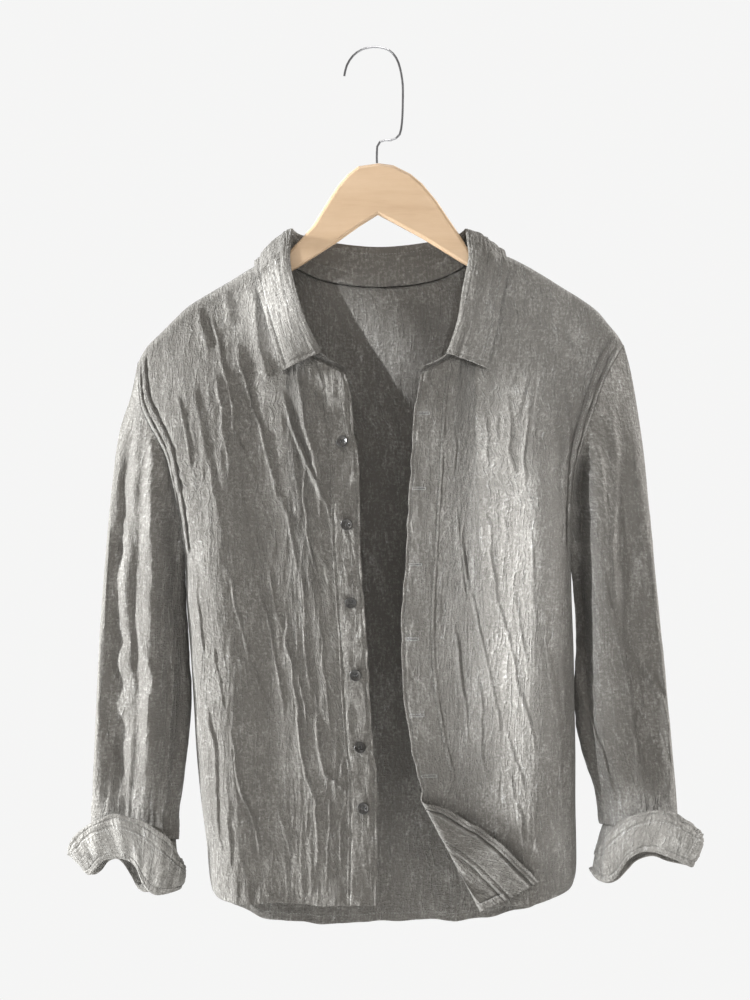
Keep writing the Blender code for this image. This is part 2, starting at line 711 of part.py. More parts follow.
def make_hanger(collection, beech, wire):
    outline = []
    for side in ("right", "left"):
        ridge = reverse_path(make_path(SHOULDER[side]))
        top = [Vector(row) for row in WOOD_TOP[side]]
        for i in range(1, 9):
            share = i / 8 * (1.0 - WOOD_TIP_SHARE)
            along = (ridge(share + 0.02) - ridge(share - 0.02)).normalized()
            upward = Vector((-along.y, along.x)) * (1.0 if along.x > 0 else -1.0)
            top.append((ridge(share) - upward * WOOD_SEAT) / MM)
        half = top + [Vector(row) for row in WOOD_LOWER[side]]
        if side == "right":
            outline = list(reversed(half))[:-1]
        else:
            outline = outline + half
    outline.append(Vector(WOOD_CROTCH))
    inset = WOOD_ROUND / MM
    inward = []
    for i, point in enumerate(outline):
        before = outline[i - 1]
        after = outline[(i + 1) % len(outline)]
        along = (after - before).normalized()
        inward.append(point + Vector((along.y, -along.x)) * inset)
    curve = bpy.data.curves.new("hanger_wood", "CURVE")
    curve.dimensions = "2D"
    curve.fill_mode = "BOTH"
    curve.extrude = 0.5 * WOOD_THICKNESS - WOOD_ROUND
    curve.bevel_depth = WOOD_ROUND
    curve.bevel_resolution = 1
    spline = curve.splines.new("POLY")
    spline.points.add(len(inward) - 1)
    for slot, point in zip(spline.points, inward):
        slot.co = (point.x * MM, point.y * MM, 0.0, 1.0)
    spline.use_cyclic_u = True
    wood = add_object("hanger_wood", curve, collection, beech)
    wood.rotation_euler = (math.pi / 2, 0.0, 0.0)

    hook = bpy.data.curves.new("hanger_hook", "CURVE")
    hook.dimensions = "3D"
    hook.bevel_depth = HOOK_RADIUS
    hook.bevel_resolution = 2
    hook.use_fill_caps = True
    path = make_path(HOOK_PATH)
    count = 36
    spline = hook.splines.new("POLY")
    spline.points.add(count - 1)
    for i, slot in enumerate(spline.points):
        point = path(i / (count - 1))
        slot.co = (point.x, 0.0, point.y, 1.0)
    add_object("hanger_hook", hook, collection, wire)


def main():
    for obj in list(bpy.data.objects):
        bpy.data.objects.remove(obj, do_unlink=True)
    shirt = bpy.data.collections.new("shirt_on_hanger")
    cutters = bpy.data.collections.new("cutters")
    bpy.context.scene.collection.children.link(shirt)
    bpy.context.scene.collection.children.link(cutters)
    materials = {name: make_material(name) for name in COLOURS}
    make_body(shirt, materials["linen"])
    make_collar(shirt, materials["linen"])
    make_sleeves(shirt, materials["linen"])
    make_buttons(shirt, cutters, materials["horn"])
    make_hanger(shirt, materials["beech"], materials["wire"])


main()
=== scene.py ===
import math

import bmesh
import bpy
import numpy as np
from mathutils import Matrix, Vector


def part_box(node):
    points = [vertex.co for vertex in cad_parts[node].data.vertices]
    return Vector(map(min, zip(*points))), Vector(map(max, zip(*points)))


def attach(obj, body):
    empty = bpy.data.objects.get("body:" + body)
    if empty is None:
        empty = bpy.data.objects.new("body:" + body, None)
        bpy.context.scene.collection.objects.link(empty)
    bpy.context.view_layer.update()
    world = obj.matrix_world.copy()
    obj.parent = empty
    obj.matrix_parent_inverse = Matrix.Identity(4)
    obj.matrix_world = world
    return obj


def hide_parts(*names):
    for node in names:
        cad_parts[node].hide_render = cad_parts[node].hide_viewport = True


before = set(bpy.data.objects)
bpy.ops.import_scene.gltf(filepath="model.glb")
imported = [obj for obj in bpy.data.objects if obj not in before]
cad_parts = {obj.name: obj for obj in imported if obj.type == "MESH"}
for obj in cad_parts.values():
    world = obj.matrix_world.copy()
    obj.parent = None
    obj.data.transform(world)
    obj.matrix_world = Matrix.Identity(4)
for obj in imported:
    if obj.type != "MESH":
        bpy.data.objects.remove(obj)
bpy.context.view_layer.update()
mm = 0.001


def ease(t):
    t = np.clip(t, 0.0, 1.0)
    return t * t * (3.0 - 2.0 * t)


def quarterRound(t):
    t = 1.0 - np.clip(t, 0.0, 1.0)
    return np.sqrt(1.0 - t * t)


def blendTo(a, b, t):
    return a + (b - a) * t


def column(values):
    return np.asarray(values, float)[..., None]


def curveThrough(rows, byRow=False, scale=mm, steps=16):
    # smooth curve through table rows, as a function of the share of its length or of its rows
    points = np.array(rows, float) * scale
    before = np.vstack([points[:1], points[:-1]])
    after = np.vstack([points[1:], points[-1:]])
    dense = [points[0]]
    for i in range(len(points) - 1):
        startSlope = (points[i + 1] - before[i]) * 0.5
        endSlope = (after[i + 1] - points[i]) * 0.5
        for step in range(1, steps + 1):
            t = step / steps
            dense.append(points[i] * (2 * t ** 3 - 3 * t * t + 1) + startSlope * (t ** 3 - 2 * t * t + t)
                         + points[i + 1] * (3 * t * t - 2 * t ** 3) + endSlope * (t ** 3 - t * t))
    dense = np.array(dense)
    pieces = np.ones(len(dense) - 1) if byRow else np.linalg.norm(np.diff(dense, axis=0), axis=1)
    reach = np.concatenate([[0.0], np.cumsum(pieces)])
    reach = reach / reach[-1]

    def at(share):
        share = np.clip(np.asarray(share, float), 0.0, 1.0)
        return np.stack([np.interp(share, reach, dense[:, k]) for k in range(dense.shape[1])], axis=-1)

    return at


def joinCurves(first, share, second):
    def at(t):
        t = np.asarray(t, float)
        return np.where(column(t <= share), first(t / share), second((t - share) / (1.0 - share)))

    return at


def backwards(curve):
    return lambda t: curve(1.0 - np.asarray(t, float))


def latticeNoise(across, along, seed):
    # smooth noise from 0 to 1, the same on every run
    i = np.floor(across).astype(np.int64)
    j = np.floor(along).astype(np.int64)

    def corner(a, b):
        h = (a * 374761393 + b * 668265263 + seed * 974634777) & 0x7fffffff
        h = ((h ^ (h >> 13)) * 1274126177) & 0x7fffffff
        return ((h ^ (h >> 16)) & 0xffff) / 65535.0

    fx = ease(across - i)
    fy = ease(along - j)
    low = blendTo(corner(i, j), corner(i + 1, j), fx)
    high = blendTo(corner(i, j + 1), corner(i + 1, j + 1), fx)
    return blendTo(low, high, fy)


crinkles = {  # width and length of a crinkle, height, sharpness
    "body": [(30, 90, 1.5, 1.2), (13, 60, 1.1, 2.2), (6.5, 36, 0.95, 2.8), (3.6, 17, 0.55, 2.4)],
    "sleeve": [(22, 80, 2.6, 1.2), (10, 50, 1.2, 2.2), (5.5, 30, 0.8, 2.4), (3.4, 16, 0.45, 2.4)],
    "collar": [(13, 60, 1.5, 1.6), (6.5, 40, 1.7, 2.2), (4, 22, 1.0, 2.2)],
    "band": [(14, 30, 2.4, 1.4), (6, 18, 1.2, 2.0), (3.2, 11, 0.6, 2.0)],
}


def crinkleHeight(across, along, seed, kind):
    # uneven lengthwise ridges and troughs of crushed cloth, in metres
    drift = (latticeNoise(across / 0.045, along / 0.08, seed) - 0.5) * 0.016
    height = np.zeros_like(across)
    for k, (wide, length, depth, sharp) in enumerate(crinkles[kind]):
        n = latticeNoise((across + drift) / (wide * mm), along / (length * mm), seed + 7 * k + 1)
        ridge = (1.0 - np.abs(2.0 * n - 1.0)) ** sharp
        height += depth * mm * (ridge - 0.42)
    calm = 0.35 + 0.65 * latticeNoise(across / 0.08, along / 0.14, seed + 50)
    return height * calm


creaseForm = {  # sideways wander, and how narrow and high a sharp crease is beside a broad one
    "slowWander": 3.6, "quickWander": 1.2, "sharpBelow": 3.2, "sharpWidth": 0.56, "sharpRise": 1.15,
    "broadRise": 0.95, "trough": 0.30,
}


def creaseHeight(table, x, z, seed):
    # a ridge down each given line, with a softer trough on its right
    height = np.zeros_like(x)
    wander = (latticeNoise(x / 0.03, z / 0.022, seed) - 0.5) * creaseForm["slowWander"] * mm
    wander += (latticeNoise(x / 0.02, z / 0.008, seed + 1) - 0.5) * creaseForm["quickWander"] * mm
    for halfWidth, rise, points in table:
        lineX = np.interp(-z, [-point[1] * mm for point in points], [point[0] * mm for point in points])
        sharp = halfWidth < creaseForm["sharpBelow"]
        across = (x - lineX + wander) / (halfWidth * (creaseForm["sharpWidth"] if sharp else 1.0) * mm)
        topZ, endZ = points[0][1] * mm, points[-1][1] * mm
        along = (topZ - z) / (topZ - endZ)
        taper = ease(along * 5.0) * ease((1.0 - along) * 4.0)
        uneven = 0.55 + 0.9 * latticeNoise(x * 0 + halfWidth * rise * 9, z / 0.035, seed + 5)
        shape = np.exp(-np.abs(across) ** 1.5) - creaseForm["trough"] * np.exp(-((across - 2.0) / 1.3) ** 2)
        stronger = creaseForm["sharpRise"] if sharp else creaseForm["broadRise"]
        height += rise * stronger * mm * taper * uneven * shape
    return height


def lineGroove(distance, halfWidth):
    # 1 on a sewn line, falling to 0 beside it
    return np.exp(-(distance / halfWidth) ** 2)


def layOut(grid, panel, upright):
    # lengths along the cloth, measured over its own surface
    if upright:
        around = np.linalg.norm(np.diff(grid[:, :, :2], axis=1), axis=2).cumsum(axis=1)
        around = np.hstack([np.zeros((len(grid), 1)), around])
        return around.mean(axis=0, keepdims=True) + 0 * around, grid[:, :, 2]
    across = np.linalg.norm(np.diff(grid, axis=1), axis=2).cumsum(axis=1)
    across = np.hstack([np.zeros((len(grid), 1)), across])
    down = np.linalg.norm(np.diff(grid, axis=0), axis=2).cumsum(axis=0)
    down = np.vstack([np.zeros((1, grid.shape[1])), down])
    if panel:
        turn = 1.0 if grid[0, 0, 0] < 0 else -1.0
        return grid[:, :1, 0] + across * turn, grid[:1, :, 2] - down
    return across.mean(axis=0, keepdims=True) + 0 * across, down.mean(axis=1, keepdims=True) + 0 * down


def placeMesh(name, builder):
    # a finished bmesh as an object in the scene
    mesh = bpy.data.meshes.new(name)
    builder.to_mesh(mesh)
    builder.free()
    piece = bpy.data.objects.new(name, mesh)
    bpy.context.scene.collection.objects.link(piece)
    return piece


def clothSheet(name, surface, columns, rows, thickness, panel=False, tube=False, lengthwise=False,
               upright=False):
    # a grid laid on surface(u, v), with its cut laid out in the UV map in metres
    builder = bmesh.new()
    uvLayer = builder.loops.layers.uv.new("Cloth")
    bmesh.ops.create_grid(builder, x_segments=len(columns) - 1, y_segments=len(rows) - 1, size=0.5)
    place = np.array([vertex.co for vertex in builder.verts])
    i = np.rint((place[:, 0] + 0.5) * (len(columns) - 1)).astype(int)
    j = np.rint((place[:, 1] + 0.5) * (len(rows) - 1)).astype(int)
    points = surface(np.array(columns)[i], np.array(rows)[j])
    grid = np.zeros((len(rows), len(columns), 3))
    grid[j, i] = points
    across, down = layOut(grid, panel, upright)
    if lengthwise:
        across, down = down, across
    for face in builder.faces:
        for loop in face.loops:
            k = loop.vert.index
            loop[uvLayer].uv = (across[j[k], i[k]], down[j[k], i[k]])
    for vertex, point in zip(builder.verts, points):
        vertex.co = point
    if tube:
        bmesh.ops.remove_doubles(builder, verts=builder.verts, dist=0.00002)
    sheet = placeMesh(name, builder)
    sheet.data.shade_smooth()
    shell = sheet.modifiers.new("Cloth", "SOLIDIFY")
    shell.thickness = thickness
    shell.offset = 0.0
    return sheet


def spread(count, first=0.0, last=1.0):
    return list(np.linspace(first, last, count + 1))


def finishSheet(sheet, node):
    sheet.data.materials.append(linenMaterial)
    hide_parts(node)
    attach(sheet, "root")


def newMaterial(name, roughness, metallic=0.0):
    material = bpy.data.materials.new(name)
    material.use_nodes = True
    shader = material.node_tree.nodes["Principled BSDF"]
    shader.inputs["Roughness"].default_value = roughness
    shader.inputs["Metallic"].default_value = metallic
    return material, material.node_tree, shader


def addNoise(tree, source, scale, detail=3.0, kind="FBM", rough=0.5, turn=0.0, warp=0.0):
    mapping = tree.nodes.new("ShaderNodeMapping")
    mapping.inputs["Scale"].default_value = scale
    mapping.inputs["Rotation"].default_value = (0.0, 0.0, turn)
    tree.links.new(source, mapping.inputs["Vector"])
    noise = tree.nodes.new("ShaderNodeTexNoise")
    noise.noise_type = kind
    noise.inputs["Scale"].default_value = 1.0
    noise.inputs["Detail"].default_value = detail
    noise.inputs["Roughness"].default_value = rough
    noise.inputs["Distortion"].default_value = warp
    tree.links.new(mapping.outputs["Vector"], noise.inputs["Vector"])
    return noise.outputs["Fac"]


def addMath(tree, operation, first, second):
    node = tree.nodes.new("ShaderNodeMath")
    node.operation = operation
    for socket, value in zip(node.inputs, (first, second)):
        if isinstance(value, (int, float)):
            socket.default_value = value
        else:
            tree.links.new(value, socket)
    return node.outputs[0]


def addLines(tree, source, scale, turn, thin):
    # thin wandering lines where a smooth noise passes its middle
    smooth = addNoise(tree, source, scale, 1.6, rough=0.45, turn=turn, warp=0.25)
    away = addMath(tree, "ABSOLUTE", addMath(tree, "SUBTRACT", smooth, 0.5), 0.0)
    line = addMath(tree, "SUBTRACT", 1.0, addMath(tree, "DIVIDE", away, thin))
    return addMath(tree, "MAXIMUM", line, 0.0)


def addSum(tree, parts):
    # each source times its share, added up
    total = addMath(tree, "MULTIPLY", *parts[0])
    for source, share in parts[1:]:
        total = addMath(tree, "ADD", total, addMath(tree, "MULTIPLY", source, share))
    return total


def addRamp(tree, source, stops):
    ramp = tree.nodes.new("ShaderNodeValToRGB")
    ramp.color_ramp.elements[0].position = stops[0][0]
    ramp.color_ramp.elements[0].color = stops[0][1]
    ramp.color_ramp.elements[1].position = stops[-1][0]
    ramp.color_ramp.elements[1].color = stops[-1][1]
    for position, color in stops[1:-1]:
        ramp.color_ramp.elements.new(position).color = color
    tree.links.new(source, ramp.inputs["Fac"])
    return ramp.outputs["Color"]


def addBump(tree, height, strength, distance, under=None):
    bump = tree.nodes.new("ShaderNodeBump")
    bump.inputs["Strength"].default_value = strength
    bump.inputs["Distance"].default_value = distance
    tree.links.new(height, bump.inputs["Height"])
    if under is not None:
        tree.links.new(under, bump.inputs["Normal"])
    return bump.outputs["Normal"]


linen = {
    "tones": [(0.415, (0.137, 0.129, 0.117, 1.0)), (0.495, (0.226, 0.216, 0.199, 1.0)),
              (0.580, (0.395, 0.395, 0.385, 1.0))],
    "roughness": 0.92, "sheen": 0.10, "sheenRoughness": 0.5, "specular": 0.2,
    "yarns": {  # scale across and along the cloth, detail, roughness, warp and share of the color
        "fleck": ((430.0, 330.0, 1.0), 3.0, 0.7, 0.0, 0.33),
        "warpSlubs": ((390.0, 105.0, 1.0), 3.0, 0.65, 0.0, 0.24),
        "weftSlubs": ((120.0, 430.0, 1.0), 3.0, 0.65, 0.0, 0.16),
        "patches": ((62.0, 34.0, 1.0), 5.0, 0.68, 0.5, 0.15),
        "clouds": ((20.0, 11.0, 1.0), 2.0, 0.5, 0.0, 0.12),
    },
    "folds": [  # scale, detail, turn, warp and height
        ((75.0, 13.0, 1.0), 4.0, 0.10, 0.7, 0.5),
        ((190.0, 62.0, 1.0), 3.0, -0.08, 0.8, 0.26),
    ],
    "foldRoughness": 0.55,
    # these lines are painted lighter into the colour too: painted highlight along their raised bump, partly
    # light dye
    "lines": [((58.0, 7.0, 1.0), 0.13, 0.022), ((96.0, 13.0, 1.0), -0.07, 0.028)],  # scale, turn, width
    # the fold height is also painted into the colour: grooves darker as painted shade, ridges lighter as
    # ridge wear with painted highlight
    "ridgeWearAndPaintedShadeShare": 0.14, "paintedShadeBelow": 0.62, "dyeAndPaintedHighlightLines": 0.034, "lineFolds": 0.17,
    "crinkleBump": 0.95, "crinkleDepth": 2.9, "weaveBump": 0.9, "weaveDepth": 2.1,
}


def makeLinen():
    material, tree, shader = newMaterial("crinkledLinen", linen["roughness"])
    uv = tree.nodes.new("ShaderNodeUVMap")
    uv.uv_map = "Cloth"
    cloth = uv.outputs["UV"]
    yarns, shares = {}, []
    for name, (scale, detail, rough, warp, share) in linen["yarns"].items():
        yarns[name] = addNoise(tree, cloth, scale, detail, rough=rough, warp=warp)
        shares.append((yarns[name], share))
    folds = addSum(tree, [(addNoise(tree, cloth, scale, detail, "RIDGED_MULTIFRACTAL",
                                    linen["foldRoughness"], turn, warp), height)
                          for scale, detail, turn, warp, height in linen["folds"]])
    # the lines raise the bump and are painted lighter into the colour: painted highlight, partly light dye
    lines = addMath(tree, "ADD", *[addLines(tree, cloth, *row) for row in linen["lines"]])
    # colour follows the fold bump: painted shade in its grooves, ridge wear and painted highlight on its
    # ridges
    ridgeWearAndPaintedShade = addMath(tree, "SUBTRACT", folds, linen["paintedShadeBelow"])
    melange = addSum(tree, shares + [(ridgeWearAndPaintedShade, linen["ridgeWearAndPaintedShadeShare"]), (lines, linen["dyeAndPaintedHighlightLines"])])
    tree.links.new(addRamp(tree, melange, linen["tones"]), shader.inputs["Base Color"])
    shader.inputs["Sheen Weight"].default_value = linen["sheen"]
    shader.inputs["Sheen Roughness"].default_value = linen["sheenRoughness"]
    shader.inputs["Specular IOR Level"].default_value = linen["specular"]
    creased = addMath(tree, "ADD", folds, addMath(tree, "MULTIPLY", lines, linen["lineFolds"]))
    lumps = addBump(tree, creased, linen["crinkleBump"], linen["crinkleDepth"] * mm)
    grain = addMath(tree, "ADD", addMath(tree, "ADD", yarns["warpSlubs"], yarns["fleck"]),
                    yarns["weftSlubs"])
    weave = addBump(tree, grain, linen["weaveBump"], linen["weaveDepth"] * mm, lumps)
    tree.links.new(weave, shader.inputs["Normal"])
    return material


beech = {
    "tones": [(0.18, (0.40, 0.265, 0.155, 1.0)), (0.42, (0.49, 0.34, 0.21, 1.0)),
              (0.62, (0.53, 0.375, 0.24, 1.0))],
    "roughness": 0.42, "grainScale": (9.0, 60.0, 60.0), "grain": 0.78,
    "poreScale": (60.0, 900.0, 900.0), "pores": 0.22, "poreBump": 0.12, "poreDepth": 0.5,
    "coat": 0.25, "coatRoughness": 0.25,
}


def makeBeech():
    material, tree, shader = newMaterial("paleBeech", beech["roughness"])
    place = tree.nodes.new("ShaderNodeTexCoord").outputs["Object"]
    grain = addNoise(tree, place, beech["grainScale"], 5.0, rough=0.55, warp=0.6)
    pores = addNoise(tree, place, beech["poreScale"], 2.0, rough=0.6)
    figure = addSum(tree, [(grain, beech["grain"]), (pores, beech["pores"])])
    tree.links.new(addRamp(tree, figure, beech["tones"]), shader.inputs["Base Color"])
    raised = addBump(tree, pores, beech["poreBump"], beech["poreDepth"] * mm)
    tree.links.new(raised, shader.inputs["Normal"])
    shader.inputs["Coat Weight"].default_value = beech["coat"]
    shader.inputs["Coat Roughness"].default_value = beech["coatRoughness"]
    return material


def makeMottled(name, finish):
    # one even mottle of two or three tones, for horn, wire and thread
    material, tree, shader = newMaterial(name, finish["roughness"], finish["metallic"])
    place = tree.nodes.new("ShaderNodeTexCoord").outputs["Object"]
    mottle = addNoise(tree, place, (finish["scale"],) * 3, finish["detail"], rough=finish["rough"],
                      warp=finish["warp"])
    tree.links.new(addRamp(tree, mottle, finish["tones"]), shader.inputs["Base Color"])
    return material


horn = {
    "roughness": 0.32, "metallic": 0.0, "scale": 260.0, "detail": 4.0, "rough": 0.6, "warp": 1.0,
    "tones": [(0.35, (0.010, 0.009, 0.008, 1.0)), (0.56, (0.028, 0.025, 0.022, 1.0)),
              (0.72, (0.11, 0.105, 0.095, 1.0))],
}
wire = {
    "roughness": 0.22, "metallic": 1.0, "scale": 140.0, "detail": 3.0, "rough": 0.5, "warp": 0.0,
    "tones": [(0.3, (0.22, 0.22, 0.23, 1.0)), (0.7, (0.34, 0.34, 0.35, 1.0))],
}
seamTwist = {
    "roughness": 0.8, "metallic": 0.0, "scale": 1800.0, "detail": 2.0, "rough": 0.5, "warp": 0.0,
    "tones": [(0.35, (0.225, 0.225, 0.2175, 1.0)), (0.65, (0.36, 0.36, 0.348, 1.0))],
}
# dark thread for the buttons, also used as the painted shade in the buttonhole slits
darkTwistAndSlitShade = {
    "roughness": 0.8, "metallic": 0.0, "scale": 1800.0, "detail": 2.0, "rough": 0.5, "warp": 0.0,
    "tones": [(0.35, (0.075, 0.075, 0.075, 1.0)), (0.65, (0.12, 0.12, 0.12, 1.0))],
}

linenMaterial = makeLinen()
beechMaterial = makeBeech()
hornMaterial = makeMottled("darkHorn", horn)
wireMaterial = makeMottled("platedWire", wire)
seamThread = makeMottled("seamThread", seamTwist)
darkThreadAndSlitShade = makeMottled("buttonThread", darkTwistAndSlitShade)
print("materials ready")

# lengths in the tables that follow are in millimetres
body = {  # the cut and how it hangs
    "thickness": 0.8, "bandThickness": 1.1, "seamGap": 0.35,
    "ridgeRadius": 8.5, "fallLength": 250, "frontBelly": 31, "backBelly": 24,
    "frontNeck": 9, "backNeck": 21, "neckHalfWidth": 125, "neckDrop": 30,
    "rightRise": 10, "rightReach": 185, "chestRise": 0.7, "chestZ": -395, "chestHalf": 75,
    "leftFull": (16, 158, 58), "leftEdge": 6, "leftEdgeX": 30, "leftEdgeWidth": 55,
    "sideRound": 42, "armholeDepth": 29, "armholeShare": 0.38, "shoulderShare": 0.58,
    "buttonBand": 28, "holeBand": 32,
    "turnTop": (43.5, -768), "turnBottom": (107.9, -889.5), "turnRadius": 4.2,
}
shoulder = {
    "right": [(-250, -327), (-241, -311), (-227, -297), (-212, -282), (-198, -269),
              (-179, -257), (-155, -243), (-129, -227), (-102, -213)],
    "left": [(254, -309), (248, -299), (238, -287), (227, -274), (211, -262),
             (190, -249), (171, -237), (150, -225), (130, -216), (103, -211)],
}
armhole = {
    "right": [(-250, -327), (-248.5, -352), (-245, -374), (-236, -393), (-227, -409), (-219, -426),
              (-214, -448), (-207, -484), (-203, -515), (-201, -531)],
    "left": [(254, -309), (241, -330), (230, -353), (219, -384), (210, -411),
             (205, -430), (201, -455), (199, -490), (199, -531)],
}
sideSeam = {
    "right": [(-201, -531), (-199, -583), (-195, -633), (-192, -683), (-189, -734),
              (-184, -784), (-179, -822), (-176, -856), (-173, -871)],
    "left": [(199, -531), (200, -574), (202, -626), (203, -678), (204, -730),
             (204, -782), (205, -846), (202, -865)],
}
freeEdge = {
    "right": [(-34, -341), (-28, -363), (-26, -394), (-22, -419), (-20, -445), (-19, -496),
              (-18, -532), (-15, -573), (-12, -614), (-10, -650), (-8, -686), (-5, -727),
              (-2, -753), (-2, -789), (-2, -830), (-3, -885)],
    "left": [(43, -341), (39, -363), (35, -394), (32, -445), (29, -496), (26, -548),
             (23, -599), (24, -650), (27, -686), (33, -722), (39, -750), (43.5, -768), (38, -785),
             (32, -804), (29, -832), (29, -862), (33, -895), (39.5, -925)],
}
frontHem = {
    "right": [(-173, -871), (-165, -878), (-152, -882), (-125, -884), (-82, -884), (-31, -885)],
    "left": [(202, -865), (194, -872), (174, -879), (155, -883), (108, -889.5), (71.5, -909)],
}
backHem = [(-173, -871), (-159, -891), (-128, -907), (-94, -913), (-62, -917), (-18, -918),
           (1, -916), (45, -915), (89, -913), (119, -908), (165, -895), (202, -865)]
longFolds = {  # top x, z, bottom x, z, half width, depth
    "right": [(-118, -245, -60, -620, 14, 1.4), (-142, -250, -104, -820, 15, -1.4),
              (-170, -290, -140, -960, 16, 1.4), (-172, -560, -160, -960, 13, -1.4)],
    "left": [(96, -350, 92, -740, 12, -2.5),
             (166, -290, 150, -960, 16, 2.5), (186, -560, 180, -960, 13, -2.5)],
    "back": [(-150, -320, -140, -980, 20, 4.0), (-78, -270, -86, -980, 20, -4.0),
             (2, -290, 6, -980, 22, 4.0), (80, -270, 92, -980, 20, -4.0),
             (152, -320, 146, -980, 20, 4.0)],
}
